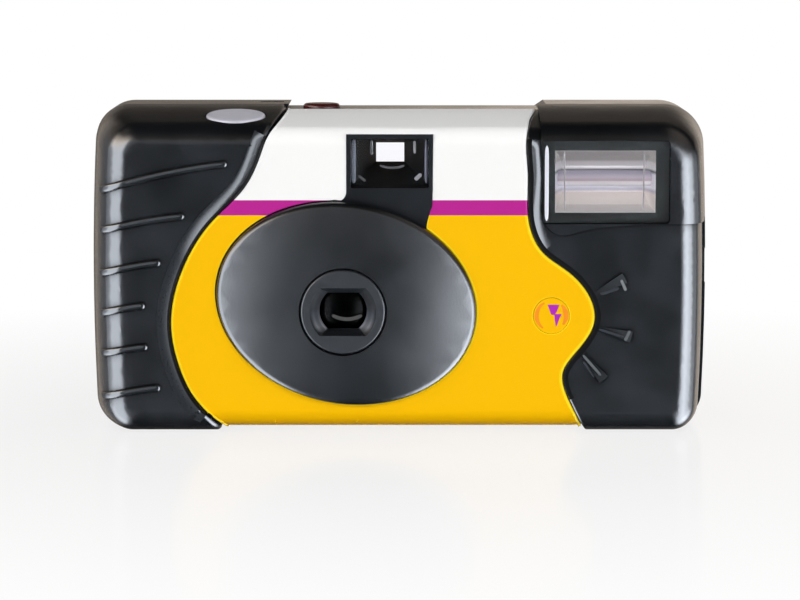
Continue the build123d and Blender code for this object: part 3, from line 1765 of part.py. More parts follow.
save(front_cover(), "front_cover")
save(rear_cover(), "rear_cover")
save(wrap_label(), "wrap_label")
save(film_door(), "film_door")
save(lens_ring(), "lens_ring")
save(taking_lens(), "taking_lens")
save(aperture_plate(), "aperture_plate")
save(shutter_blade(), "shutter_blade")
save(torsion_spring(blade_pivot_x, blade_pivot_z, 0), "blade_spring")
save(striker_lever(), "striker_lever")
save(torsion_spring(striker_x, striker_z, 180), "striker_spring")
save(main_frame(), "main_frame")
save(film_cartridge(), "film_cartridge")
save(cartridge_spool(), "cartridge_spool")
save(thumbwheel(), "thumbwheel")
save(wheel_pawl(), "wheel_pawl")
save(sprocket(), "sprocket")
save(supply_spool(), "supply_spool")
save(film_roll(), "film_roll")
save(film_strip(), "film_strip")
save(counter_dial(), "counter_dial")
save(counter_window(), "counter_window")
save(shutter_button(), "shutter_button")
save(metering_lever(), "metering_lever")
save(viewfinder_housing(), "viewfinder_housing")
save(viewfinder_front_lens(), "viewfinder_front_lens")
save(viewfinder_rear_lens(), "viewfinder_rear_lens")
save(flash_lens(), "flash_lens")
save(flash_reflector(), "flash_reflector")
save(flash_tube(), "flash_tube")
save(circuit_board(), "circuit_board")
save(main_capacitor(), "main_capacitor")
save(transformer(), "transformer")
save(trigger_coil(), "trigger_coil")
save(charge_switch(), "charge_switch")
save(sync_contact(), "sync_contact")
save(flash_button(), "flash_button")
save(ready_light(), "ready_light")
save(ready_lamp(), "ready_lamp")
save(battery(), "battery")
save(battery_contact_positive(), "battery_contact_positive")
save(battery_contact_negative(), "battery_contact_negative")
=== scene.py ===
import json
import math

import bmesh
import bpy
import numpy as np
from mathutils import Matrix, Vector

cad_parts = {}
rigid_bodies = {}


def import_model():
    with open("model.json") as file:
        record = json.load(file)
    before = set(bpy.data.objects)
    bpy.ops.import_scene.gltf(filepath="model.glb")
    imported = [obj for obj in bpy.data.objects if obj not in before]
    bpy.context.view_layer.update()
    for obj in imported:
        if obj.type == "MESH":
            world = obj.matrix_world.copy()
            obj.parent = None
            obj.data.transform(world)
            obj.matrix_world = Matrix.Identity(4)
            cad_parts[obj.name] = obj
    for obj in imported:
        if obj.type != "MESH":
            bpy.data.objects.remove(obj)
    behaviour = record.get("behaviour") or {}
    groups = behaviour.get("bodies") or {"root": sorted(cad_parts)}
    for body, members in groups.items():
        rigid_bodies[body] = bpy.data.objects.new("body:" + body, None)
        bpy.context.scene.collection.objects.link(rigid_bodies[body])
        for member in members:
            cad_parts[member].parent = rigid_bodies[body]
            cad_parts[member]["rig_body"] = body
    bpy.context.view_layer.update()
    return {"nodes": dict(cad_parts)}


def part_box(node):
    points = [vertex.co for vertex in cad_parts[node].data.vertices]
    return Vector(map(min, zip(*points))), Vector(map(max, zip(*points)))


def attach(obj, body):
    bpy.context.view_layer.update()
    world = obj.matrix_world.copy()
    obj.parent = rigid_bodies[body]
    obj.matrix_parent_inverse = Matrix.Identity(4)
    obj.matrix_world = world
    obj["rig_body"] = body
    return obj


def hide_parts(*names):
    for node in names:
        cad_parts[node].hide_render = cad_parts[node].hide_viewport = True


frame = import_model()
NODES = frame["nodes"]
ROOT = NODES["front_cover"]["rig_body"]
CHARGE_BODY = NODES["flash_button"]["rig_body"]
MM = 0.001

# Places repeated from the part, in millimetres: middles of the lens, the dome's oval, the flash window,
# the finder and the charging button, each as x and height.
LENS = (-10.9, 23.75)
DOME = (-10.25, 25.1)
FLASH = (39.3, 48.3)
FINDER = (-1.96, 51.9)
CHARGE = (29.05, 22.6)
# Depths of the label's bed on the front cover and of the label's own face.
BED_FRONT = -14.1
LABEL_FRONT = -14.35
# Start height, end place and end height of each rib.
RIBS = [
    (46.6, -33.6, 51.83),
    (38.88, -41.82, 41.87),
    (30.65, -46.44, 32.93),
    (22.93, -49.47, 24.67),
    (15.11, -49.08, 16.7),
    (6.7, -46.68, 8.82),
]
# Lower and upper edge of the label's magenta line, and the gap left round the charging button.
MAGENTA_LINE = (41.95, 44.85)
BUTTON_GAP = 0.25

# Settings of the nodes used most.
TIMES = {"operation": "MULTIPLY"}
SIZE = {"operation": "ABSOLUTE"}


# Colour and node helpers
def linear(hex_code):
    """Linear red, green, blue and alpha from an sRGB hex value."""
    parts = [int(hex_code[i : i + 2], 16) / 255 for i in (1, 3, 5)]
    return [p / 12.92 if p <= 0.04045 else ((p + 0.055) / 1.055) ** 2.4 for p in parts] + [1.0]


def lumps(size_mm, detail=2.0, rough=0.5):
    """Settings of a noise whose lumps are size_mm across."""
    return {"Scale": 1 / (size_mm * MM), "Detail": detail, "Roughness": rough}


def span(low, high, start=0.0, end=1.0):
    """Settings that move a value from low..high to start..end, and hold it at the ends."""
    return {"From Min": low, "From Max": high, "To Min": start, "To Max": end}


def join(tree, node, **links):
    """Links a node's inputs, by name or as i0 by number, from sockets or from other nodes' first output."""
    for key, source in links.items():
        name = int(key[1:]) if key[0] == "i" and key[1:].isdigit() else key.replace("_", " ")
        tree.links.new(getattr(source, "outputs", [source])[0], node.inputs[name])


def add(tree, kind, settings=None, **links):
    """Adds one node, gives it its settings and links its inputs.

    A setting's key is an input's name or number, or a field of the node. Under "stops" it is a ramp's
    list of places with a hex colour or a plain value."""
    node = tree.nodes.new(kind)
    for key, value in (settings or {}).items():
        if key == "stops":
            elements = node.color_ramp.elements
            elements.remove(elements[1])
            for index, (place, tone) in enumerate(value):
                element = elements.new(place) if index else elements[0]
                element.position = place
                element.color = linear(tone) if isinstance(tone, str) else [tone, tone, tone, 1.0]
        elif isinstance(key, int) or key in node.inputs:
            node.inputs[key].default_value = value
        else:
            setattr(node, key, value)
    join(tree, node, **links)
    return node


def material(name, **values):
    """A new material, its node tree, its Principled shader and its object coordinates in metres."""
    mat = bpy.data.materials.new(name)
    mat.use_nodes = True
    tree = mat.node_tree
    shader = tree.nodes["Principled BSDF"]
    for key, value in values.items():
        shader.inputs[key.replace("_", " ")].default_value = value
    return mat, tree, shader, add(tree, "ShaderNodeTexCoord").outputs["Object"]


# Finishes
def textured_black(name, base, worn, grit_mm, rough_low, rough_high, depth_mm):
    """Moulded black polystyrene: spark-eroded grain, faint rubbed patches, and painted shade that dulls its
    shine in its seams and corners.
    """
    mat, tree, shader, here = material(name, IOR=1.5)
    # Painted shade: ambient occlusion dims the shine in seams and corners, where shade falls.
    seam_shade = add(tree, "ShaderNodeAmbientOcclusion", {"samples": 6, "Distance": 1.6 * MM}).outputs["AO"]
    unshaded_share = add(tree, "ShaderNodeMath", {"operation": "POWER", 1: 2.2}, i0=seam_shade)
    # Faces that point sideways get less shine: painted shade on their reflections of the side soft boxes.
    normal = add(tree, "ShaderNodeNewGeometry").outputs["Normal"]
    facing = add(tree, "ShaderNodeSeparateXYZ", None, Vector=normal).outputs["X"]
    sideways = add(tree, "ShaderNodeMath", SIZE, i0=facing)
    gloss = add(tree, "ShaderNodeMapRange", span(0.96, 0.985, 0.5, 0.15), Value=sideways)
    level = add(tree, "ShaderNodeMath", TIMES, i0=unshaded_share, i1=gloss)
    fine = add(tree, "ShaderNodeTexNoise", lumps(grit_mm, 3.0, 0.6), Vector=here)
    # Patches rubbed by hands, about 9 mm across.
    broad = add(tree, "ShaderNodeTexNoise", lumps(9.0), Vector=here)
    tone = add(tree, "ShaderNodeValToRGB", {"stops": [(0.35, base), (0.75, worn)]}, Fac=broad)
    mixed = add(tree, "ShaderNodeMath", {"operation": "MULTIPLY_ADD", 1: 0.35}, i0=fine, i2=broad)
    rough = add(tree, "ShaderNodeValToRGB", {"stops": [(0.35, rough_low), (0.95, rough_high)]}, Fac=mixed)
    bump = add(tree, "ShaderNodeBump", {"Strength": 0.35, "Distance": depth_mm * MM}, Height=fine)
    join(tree, shader, Specular_IOR_Level=level, Base_Color=tone, Roughness=rough, Normal=bump)
    return mat


def printed_label(name, white, yellow):
    """Printed polypropylene film: white, one magenta line and yellow, under a thin varnish."""
    mat, tree, shader, here = material(name, IOR=1.42, Roughness=0.34, Specular_IOR_Level=0.2)
    height = add(tree, "ShaderNodeSeparateXYZ", None, Vector=here).outputs["Z"]
    above = add(tree, "ShaderNodeMath", {"operation": "GREATER_THAN", 1: MAGENTA_LINE[1] * MM}, i0=height)
    below = add(tree, "ShaderNodeMath", {"operation": "LESS_THAN", 1: MAGENTA_LINE[0] * MM}, i0=height)
    inks = {"data_type": "RGBA", 6: linear("#b92690"), 7: linear(white)}
    upper = add(tree, "ShaderNodeMix", inks, Factor=above).outputs[2]
    band = add(tree, "ShaderNodeMix", {"data_type": "RGBA", 7: linear(yellow)}, Factor=below, i6=upper)
    # The film's faint orange-peel, about 1.5 mm from lump to lump.
    peel = add(tree, "ShaderNodeTexNoise", lumps(1.5), Vector=here)
    bump = add(tree, "ShaderNodeBump", {"Strength": 0.06, "Distance": 0.02 * MM}, Height=peel)
    join(tree, shader, Base_Color=band.outputs[2], Normal=bump)
    return mat


def clear_glass(name, tint, rough):
    """Clear blown glass with a faint haze in slow waves."""
    mat, tree, shader, here = material(name, IOR=1.49, Transmission_Weight=1.0)
    shader.inputs["Base Color"].default_value = linear(tint)
    wave = add(tree, "ShaderNodeTexNoise", lumps(6.0), Vector=here)
    haze = add(tree, "ShaderNodeValToRGB", {"stops": [(0.3, rough), (0.8, rough + 0.015)]}, Fac=wave)
    join(tree, shader, Roughness=haze)
    return mat


def thin_clear(name, ior, tint):
    """A clear sheet: mostly lets light through, in its own tint, and reflects as its plastic does."""
    mat, tree, shader, _ = material(name)
    tree.nodes.remove(shader)
    clear = add(tree, "ShaderNodeBsdfTransparent", {"Color": linear(tint)})
    gloss = add(tree, "ShaderNodeBsdfGlossy", {"Roughness": 0.04})
    film = add(tree, "ShaderNodeFresnel", {"IOR": ior})
    # Only a face's front reflects; its back face lets everything through.
    inside = add(tree, "ShaderNodeNewGeometry").outputs["Backfacing"]
    front = add(tree, "ShaderNodeMath", {"operation": "SUBTRACT", 0: 1.0}, i1=inside)
    facing = add(tree, "ShaderNodeMath", TIMES, i0=film, i1=front)
    both = add(tree, "ShaderNodeMixShader", None, i0=facing, i1=clear, i2=gloss)
    join(tree, tree.nodes["Material Output"], Surface=both)
    return mat


def metal(name, colour, rough, scratch_mm, depth_mm):
    """Formed or drawn sheet metal with fine tool marks."""
    mat, tree, shader, here = material(name, Metallic=1.0)
    marks = add(tree, "ShaderNodeTexNoise", lumps(scratch_mm, 4.0, 0.6), Vector=here)
    tone = add(tree, "ShaderNodeValToRGB", {"stops": [(0.3, colour[0]), (0.8, colour[1])]}, Fac=marks)
    level = add(tree, "ShaderNodeValToRGB", {"stops": [(0.3, rough), (0.8, rough + 0.12)]}, Fac=marks)
    bump = add(tree, "ShaderNodeBump", {"Strength": 0.2, "Distance": depth_mm * MM}, Height=marks)
    join(tree, shader, Base_Color=tone, Roughness=level, Normal=bump)
    return mat


def plain_plastic(name, low, high, rough, grit_mm, **values):
    """Moulded or coated plastic of one colour, with faint flow marks 5 mm across and a finer grain."""
    mat, tree, shader, here = material(name, IOR=1.5, **values)
    flow = add(tree, "ShaderNodeTexNoise", lumps(5.0), Vector=here)
    tone = add(tree, "ShaderNodeValToRGB", {"stops": [(0.3, low), (0.75, high)]}, Fac=flow)
    fine = add(tree, "ShaderNodeTexNoise", lumps(grit_mm, 3.0), Vector=here)
    level = add(tree, "ShaderNodeValToRGB", {"stops": [(0.3, rough), (0.8, rough + 0.1)]}, Fac=fine)
    bump = add(tree, "ShaderNodeBump", {"Strength": 0.2, "Distance": 0.02 * MM}, Height=fine)
    join(tree, shader, Base_Color=tone, Roughness=level, Normal=bump)
    return mat


def aluminised_bowl():
    """Aluminised reflector: satin bright sheet with pressed steps, 1 to 2 mm tall, whose reflections are
    painted in as level bands.
    """
    mat, tree, shader, here = material("aluminised_bowl", Metallic=0.1)
    height = add(tree, "ShaderNodeSeparateXYZ", None, Vector=here).outputs["Z"]
    # From the bowl's lower rim to its upper one.
    share = add(tree, "ShaderNodeMapRange", span(42.3 * MM, 54.3 * MM), Value=height)
    stops = [
        (0.0, "#c6c2c0"),
        (0.13, "#cfc9c3"),
        (0.28, "#d8cfc8"),
        (0.33, "#a6a2ad"),
        (0.38, "#dddde3"),
        (0.6, "#d7d5dc"),
        (0.645, "#404043"),
        (0.685, "#dfdcdc"),
        (0.78, "#d7d4d3"),
        (0.82, "#b0aca8"),
        (1.0, "#bab6b1"),
    ]
    tone = add(tree, "ShaderNodeValToRGB", {"stops": stops}, Fac=share)
    marks = add(tree, "ShaderNodeTexNoise", lumps(1.1, 3.0), Vector=here)
    level = add(tree, "ShaderNodeValToRGB", {"stops": [(0.3, 0.32), (0.8, 0.45)]}, Fac=marks)
    bump = add(tree, "ShaderNodeBump", {"Strength": 0.4, "Distance": 0.15 * MM}, Height=tone)
    join(tree, shader, Base_Color=tone, Roughness=level, Normal=bump)
    return mat


def quartz_tube():
    """Quartz tube full of xenon: its upper half shows the bowl's violet shade, its lower half the lamp's
    glare, over seeds in the glass 0.9 mm apart."""
    mat, tree, shader, here = material("quartz_tube", IOR=1.46, Transmission_Weight=0.1)
    height = add(tree, "ShaderNodeSeparateXYZ", None, Vector=here).outputs["Z"]
    share = add(tree, "ShaderNodeMapRange", span(46.9 * MM, 49.7 * MM), Value=height)
    stops = [
        (0.0, "#eceaf0"),
        (0.3, "#f4f2f6"),
        (0.42, "#e6dfe2"),
        (0.5, "#b3a4aa"),
        (0.72, "#b9b1bb"),
        (1.0, "#a29daa"),
    ]
    tone = add(tree, "ShaderNodeValToRGB", {"stops": stops}, Fac=share)
    seeds = add(tree, "ShaderNodeTexNoise", lumps(0.9), Vector=here)
    level = add(tree, "ShaderNodeValToRGB", {"stops": [(0.3, 0.1), (0.8, 0.2)]}, Fac=seeds)
    bump = add(tree, "ShaderNodeBump", {"Strength": 0.1, "Distance": 0.02 * MM}, Height=seeds)
    join(tree, shader, Base_Color=tone, Roughness=level, Normal=bump)
    return mat


def cone_wall():
    """Side walls of the lens cone, with a painted sheen that is brighter towards the ground that they face."""
    mat, tree, shader, here = material("polished_cone_wall", IOR=1.5, Specular_IOR_Level=0.3)
    place = add(tree, "ShaderNodeSeparateXYZ", None, Vector=here)
    share = add(tree, "ShaderNodeMapRange", span(19.6 * MM, 27.0 * MM), Value=place.outputs["Z"])
    stops = [(0.0, "#17181a"), (0.16, "#8a8d94"), (0.4, "#5c5f67"), (0.62, "#26282c"), (0.8, "#101113")]
    tone = add(tree, "ShaderNodeValToRGB", {"stops": stops}, Fac=share)
    # Deeper in the cone, a broad and a narrow painted bright line.
    inward = add(tree, "ShaderNodeMapRange", span(-17.6 * MM, -15.6 * MM), Value=place.outputs["Y"])
    stops = [(0.0, 0.12), (0.3, 0.75), (0.55, 0.4), (0.75, 0.45), (0.9, 1.0), (1.0, 0.6)]
    lines = add(tree, "ShaderNodeValToRGB", {"stops": stops}, Fac=inward)
    blend = {"data_type": "RGBA", "blend_type": "MULTIPLY", 0: 1.0}
    both = add(tree, "ShaderNodeMix", blend, i6=tone, i7=lines)
    marks = add(tree, "ShaderNodeTexNoise", lumps(0.5), Vector=here)
    level = add(tree, "ShaderNodeValToRGB", {"stops": [(0.3, 0.3), (0.8, 0.42)]}, Fac=marks)
    bump = add(tree, "ShaderNodeBump", {"Strength": 0.15, "Distance": 0.02 * MM}, Height=marks)
    join(tree, shader, Base_Color=both.outputs[2], Roughness=level, Normal=bump)
    return mat


def wound_copper():
    """Enamelled copper wire: fine turns 0.25 mm apart along the coil's length."""
    mat, tree, shader, here = material("wound_copper", Metallic=1.0)
    wave = {"wave_type": "BANDS", "bands_direction": "Z", "Scale": 1 / (0.25 * MM) / 20, "Distortion": 0.2}
    turns = add(tree, "ShaderNodeTexWave", wave, Vector=here).outputs["Fac"]
    tone = add(tree, "ShaderNodeValToRGB", {"stops": [(0.2, "#7a3f1c"), (0.8, "#c9803f")]}, Fac=turns)
    level = add(tree, "ShaderNodeValToRGB", {"stops": [(0.2, 0.5), (0.8, 0.28)]}, Fac=turns)
    bump = add(tree, "ShaderNodeBump", {"Strength": 0.5, "Distance": 0.08 * MM}, Height=turns)
    join(tree, shader, Base_Color=tone, Roughness=level, Normal=bump)
    return mat


# Both covers, spark-eroded: soft broad mirror streaks over black. The real grit of about 0.05 mm is too
# fine to show, so it is drawn at 0.35 mm.
GRIP = textured_black("textured_polystyrene", "#0a0c0e", "#0f1114", 0.35, 0.15, 0.23, 0.025)
# Inside mouldings, matt so that they kill stray light: nearly no shine at all.
INNER = plain_plastic("dull_inner_polystyrene", "#060606", "#0a0a0a", 0.55, 0.5, Specular_IOR_Level=0.03)
# The grips' round lips, rubbed by fingers: a soft streak of the side light.
LIP = plain_plastic("rubbed_lip_polystyrene", "#0b0d0f", "#101214", 0.26, 0.4, Specular_IOR_Level=0.24)
# The lip beside the flash, less touched: the same streak, sharper and brighter.
POLISHED_LIP = plain_plastic("polished_lip_polystyrene", "#0b0d0f", "#101214", 0.2, 0.4, Specular_IOR_Level=0.5)
# The ring round the lens, finely etched: an even satin grey where it faces the light.
RING_BLACK = plain_plastic("satin_ring_polystyrene", "#0d0f11", "#121417", 0.3, 0.4, Specular_IOR_Level=0.32)
# The plate round the flash bowl, dull so that it doesn't mirror the bowl.
MASK = plain_plastic("dull_mask_polystyrene", "#141615", "#1a1c1b", 0.45, 0.7, Specular_IOR_Level=0.15)
# The moulded acrylic lens: a dark glassy eye.
LENS_PLASTIC = thin_clear("polished_lens_acrylic", 1.1, "#8a8c94")
# The label's face, and its cut edge, printed paler than the face: a painted highlight along the edge.
LABEL = printed_label("label_print", "#fbfbfa", "#fdc100")
LABEL_EDGE_HIGHLIGHT = printed_label("label_cut_edge", "#ffffff", "#fedb1c")
# Moulded polystyrene windows, polished: seen through, with a weak reflection.
WINDOW = thin_clear("clear_window", 1.2, "#fefeff")
# The flash reflector, its reflections painted in as level bands.
BOWL_REFLECTIONS = aluminised_bowl()
# Hard-drawn wire and stamped levers: bright grey with fine draw marks.
STEEL = metal("spring_steel", ("#8f9296", "#b9bbbf"), 0.25, 0.4, 0.01)
# The film cartridge, rolled and lacquered: a duller grey.
TIN = metal("lacquered_tinplate", ("#6a6d72", "#83868b"), 0.3, 0.8, 0.01)
# Contacts, stamped and plated: pale yellow.
BRASS = metal("plated_brass", ("#b99a55", "#d9bd78"), 0.25, 0.5, 0.01)
COPPER = wound_copper()
# The shutter button, moulded in grey with a satin top.
GREY = plain_plastic("grey_abs", "#c0bfc9", "#cccbd5", 0.34, 0.5)
# Film base under its emulsion: glossy brown.
FILM = plain_plastic("film_base", "#4b382c", "#5a4435", 0.18, 0.8)
# Gears and levers, moulded: waxy off-white.
WHITE = plain_plastic("white_acetal", "#e4e3df", "#efeeea", 0.4, 0.6)
# Glass-fibre board under green lacquer.
BOARD = plain_plastic("coated_circuit_board", "#1d5a30", "#28703d", 0.3, 0.4)
# The capacitor's shrunk sleeve and the cell's printed one: black and dark grey, glossy.
SLEEVE = plain_plastic("shrink_sleeve", "#131417", "#1b1c20", 0.25, 0.9)
CELL = plain_plastic("battery_sleeve", "#23252a", "#2f3238", 0.22, 1.2)
QUARTZ = quartz_tube()
# The ready light's window, unlit: dark red, with a little light let through.
RED_VALUES = {"Transmission_Weight": 0.2, "Specular_IOR_Level": 0.15}
RED = plain_plastic("red_translucent_polystyrene", "#3a0b0b", "#4a0e0f", 0.25, 0.8, **RED_VALUES)
# The small neon lamp's envelope: clear with a warm tint.
LAMP = clear_glass("lamp_glass", "#f6d9c4", 0.05)
# The shutter blade, chemically blackened: dark with a dull sheen.
BLACKED = metal("blackened_steel", ("#17181a", "#242528"), 0.4, 0.6, 0.01)

NODE_MATERIALS = {
    "front_cover": GRIP,
    "rear_cover": GRIP,
    "film_door": GRIP,
    "thumbwheel": GRIP,
    "wrap_label": LABEL,
    "lens_ring": RING_BLACK,
    "taking_lens": LENS_PLASTIC,
    "aperture_plate": INNER,
    "shutter_blade": BLACKED,
    "blade_spring": STEEL,
    "striker_lever": STEEL,
    "striker_spring": STEEL,
    "main_frame": INNER,
    "film_cartridge": TIN,
    "cartridge_spool": INNER,
    "wheel_pawl": INNER,
    "sprocket": WHITE,
    "supply_spool": INNER,
    "film_roll": FILM,
    "film_strip": FILM,
    "counter_dial": WHITE,
    "counter_window": WINDOW,
    "shutter_button": GREY,
    "metering_lever": WHITE,
    "viewfinder_housing": INNER,
    "viewfinder_front_lens": WINDOW,
    "viewfinder_rear_lens": WINDOW,
    "flash_lens": WINDOW,
    "flash_reflector": BOWL_REFLECTIONS,
    "flash_tube": QUARTZ,
    "circuit_board": BOARD,
    "main_capacitor": SLEEVE,
    "transformer": COPPER,
    "trigger_coil": COPPER,
    "charge_switch": BRASS,
    "sync_contact": BRASS,
    "flash_button": LABEL,
    "ready_light": RED,
    "ready_lamp": LAMP,
    "battery": CELL,
    "battery_contact_positive": BRASS,
    "battery_contact_negative": BRASS,
}
for node_name, node_material in NODE_MATERIALS.items():
    mesh = NODES[node_name].data
    mesh.materials.clear()
    mesh.materials.append(node_material)


# Mesh helpers
def mesh_piece(name, points, faces, mat, body):
    """A smoothly shaded object from arrays of points in millimetres and of four-sided faces."""
    mesh = bpy.data.meshes.new(name)
    mesh.from_pydata((np.asarray(points, float) * MM).tolist(), [], np.asarray(faces).tolist())
    mesh.update()
    mesh.materials.append(mat)
    mesh.polygons.foreach_set("use_smooth", [True] * len(mesh.polygons))
    obj = bpy.data.objects.new(name, mesh)
    bpy.context.scene.collection.objects.link(obj)
    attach(obj, body)
    return obj


def grid_faces(rows, columns, closed=False):
    """Quads of a grid of rows by columns points, whose last column meets its first where it is closed."""
    i = np.arange(rows - 1)
    j = np.arange(columns if closed else columns - 1)
    ii, jj = np.meshgrid(i, j, indexing="ij")
    side = (jj + 1) % columns
    below = (ii + 1) * columns
    quads = np.stack([ii * columns + jj, below + jj, below + side, ii * columns + side], -1)
    return quads.reshape(-1, 4)


def band_faces(pairs, lanes):
    """Quads along pairs of rows that have lanes points each."""
    k = np.arange(lanes - 1)
    start, end = pairs[:, :1] * lanes, pairs[:, 1:] * lanes
    return np.stack([start + k, start + k + 1, end + k + 1, end + k], -1).reshape(-1, 4)


def smooth_copy(node, angle, mat):
    """A merged, smoothly shaded copy of a CAD node that keeps its edges sharper than angle."""
    source = NODES[node]
    mesh = source.data.copy()
    mesh.name = f"{node}_smooth"
    obj = bpy.data.objects.new(f"{node}_smooth", mesh)
    bpy.context.scene.collection.objects.link(obj)
    shape = bmesh.new()
    shape.from_mesh(mesh)
    bmesh.ops.remove_doubles(shape, verts=shape.verts, dist=1e-6)
    limit = math.radians(angle)
    for edge in shape.edges:
        edge.smooth = not (len(edge.link_faces) == 2 and edge.calc_face_angle(0) > limit)
    for face in shape.faces:
        face.smooth = True
    shape.to_mesh(mesh)
    shape.free()
    mesh.materials.clear()
    mesh.materials.append(mat)
    weigh = obj.modifiers.new("even_normals", "WEIGHTED_NORMAL")
    weigh.keep_sharp = True
    weigh.weight = 100
    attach(obj, source["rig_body"])
    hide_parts(node)


def cover_front(x, z):
    """Depth of the front cover's face in millimetres, straight behind each place of two arrays."""
    cover = bpy.data.objects["front_cover_smooth"]

    def depth(place_x, place_z):
        ahead = Vector((place_x * MM, -0.05, place_z * MM))
        hit, point, _, _ = cover.ray_cast(ahead, Vector((0, 1, 0)))
        return point.y / MM if hit else BED_FRONT

    return np.vectorize(depth, otypes=[float])(x, z)


# Pieces that the photograph shows, and the sharpest angle in degrees that each one rounds off.
SMOOTHED = {
    "front_cover": 28,
    "rear_cover": 28,
    "wrap_label": 28,
    "film_door": 28,
    "lens_ring": 30,
    "shutter_button": 30,
    "ready_light": 30,
    "thumbwheel": 30,
    "flash_button": 30,
}
for node_name, sharp in SMOOTHED.items():
    smooth_copy(node_name, sharp, NODE_MATERIALS[node_name])


# Printed and moulded details
def print_button():
    """Bolt printed on the charging button, and two orange arcs of painted shade on its raised rim.

    Each is a grid of two parameters, across and along: the bolt's rows run straight between two edge
    lines, and an arc's point at angle a and share s is centre + (r + s * w(a)) * (cos a, sin a), with the
    width w(a) swelling to its middle. All lie 0.02 mm in front of the button's face."""
    face = LABEL_FRONT - 0.02
    purple = plain_plastic("purple_print", "#a00fa2", "#a818a6", 0.3, 0.8)
    # The orange arcs are painted shade on the button's raised rim.
    rim_shade = plain_plastic("orange_print", "#ef8a0c", "#f2900e", 0.3, 0.8)
    share = np.linspace(0, 1, 3)
    # Rows of the bolt's two wedges: height, left edge and right edge from the button's middle.
    wedges = [
        [(2.15, -0.75, 1.5), (0.9, -0.3, 1.05), (0.2, 0.0, 0.62)],
        [(0.35, 0.55, 1.95), (-0.6, 0.62, 1.5), (-2.1, 0.86, 0.94)],
    ]
    up, left, right = np.moveaxis(np.array(wedges), -1, 0)[..., None]
    x = CHARGE[0] + left + (right - left) * share
    points = np.stack([x, np.full_like(x, face), CHARGE[1] + up + 0 * x], -1).reshape(-1, 3)
    faces = np.concatenate([grid_faces(3, 3)[:, ::-1] + 9 * wedge for wedge in range(2)])
    mesh_piece("bolt_print", points, faces, purple, CHARGE_BODY)
    for name, start, end, radius, width in (
        ("sun_arc_left", 118, 236, 2.45, 0.8),
        ("sun_arc_right", -38, 48, 2.3, 1.0),
    ):
        along = np.linspace(0, 1, 25)[:, None]
        angle = np.radians(start + (end - start) * along)
        swell = 0.35 + 0.65 * np.sin(np.pi * along)
        reach = radius + width * (0.5 + (share - 0.5) * swell)
        x = CHARGE[0] + reach * np.cos(angle)
        z = CHARGE[1] + reach * np.sin(angle)
        points = np.stack([x, np.full_like(x, face), z], -1).reshape(-1, 3)
        mesh_piece(name, points, grid_faces(25, 3), rim_shade, CHARGE_BODY)


def flash_mask():
    """Dark plate round the reflector: a rectangle's outline carried along four steps from the well's wall
    in to the reflector's rim, point = middle + share * (half width, half height) at each corner."""
    # Half width, half height and depth of each step.
    steps = np.array([(12.2, 7.9, -13.06), (11.0, 7.0, -13.0), (9.9, 6.25, -12.96), (9.6, 5.95, -12.92)])
    corners = np.array([(-1, -1), (1, -1), (1, 1), (-1, 1)])
    x = FLASH[0] + steps[:, :1] * corners[:, 0]
    z = FLASH[1] + steps[:, 1:2] * corners[:, 1]
    points = np.stack([x, steps[:, 2:] + 0 * x, z], -1).reshape(-1, 3)
    plate = mesh_piece("flash_mask", points, grid_faces(4, 4, closed=True), MASK, ROOT)
    plate.data.polygons.foreach_set("use_smooth", [False] * len(plate.data.polygons))


def ribbon(name, line, width, depth, mat, rise=0.05):
    """A low bead along a line in the front plane.

    Point(s, w) = line(s) + w * width / 2 * taper(s) beside it, at depth - rise * (1 - w * w), where w runs
    from -1 to 1 and taper(s) rounds the two ends."""
    line = np.asarray(line, float)
    steps = np.linspace(0, 1, 33)
    marks = np.linspace(0, 1, len(line))
    line = np.stack([np.interp(steps, marks, line[:, 0]), np.interp(steps, marks, line[:, 1])], -1)
    along = np.gradient(line, axis=0)
    along /= np.linalg.norm(along, axis=1, keepdims=True)
    aside = np.stack([along[:, 1], -along[:, 0]], -1)
    share = np.linspace(-1, 1, 5)
    taper = np.sqrt(1 - 0.98 * np.abs(2 * steps - 1) ** 10)
    reach = share[None, :] * (width / 2 * taper)[:, None]
    x = line[:, :1] + aside[:, :1] * reach
    z = line[:, 1:] + aside[:, 1:] * reach
    y = np.full_like(x, depth) - rise * (1 - share[None, :] ** 2)
    points = np.stack([x, y, z], -1).reshape(-1, 3)
    mesh_piece(name, points, grid_faces(33, 5)[:, ::-1], mat, ROOT)


def label_border():
    """The label's border from its solid: each point in millimetres, its directions beside the film and up
    from its face, and the pairs of points that its lines join."""
    shape = bmesh.new()
    shape.from_mesh(NODES["wrap_label"].data)
    bmesh.ops.remove_doubles(shape, verts=shape.verts, dist=1e-6)
    shape.verts.ensure_lookup_table()

    def faces_out(face):
        # The camera's middle is 31 mm above the ground.
        middle, normal = face.calc_center_median(), face.normal
        if abs(normal.x) > 0.1 or normal.y * middle.y + normal.z * (middle.z - 31 * MM) <= 0:
            return False
        return middle.y > -14.0 * MM or abs(normal.z) < 0.5

    spans, beside, above = [], {}, {}
    for edge in shape.edges:
        if len(edge.link_faces) != 2 or faces_out(edge.link_faces[0]) == faces_out(edge.link_faces[1]):
            continue
        outer, wall = sorted(edge.link_faces, key=faces_out, reverse=True)
        loop = next(item for item in outer.loops if item.edge == edge)
        ends = (loop.vert.index, loop.link_loop_next.vert.index)
        spans.append(ends)
        for index in ends:
            beside[index] = beside.get(index, Vector()) + wall.normal
            above[index] = above.get(index, Vector()) + outer.normal
    used = sorted(beside)
    row = {index: number for number, index in enumerate(used)}
    spots = np.array([shape.verts[index].co for index in used]) / MM
    aside = np.array([beside[index].normalized() for index in used])
    up = np.array([above[index].normalized() for index in used])
    shape.free()
    return spots, aside, up, np.array([[row[a], row[b]] for a, b in spans])


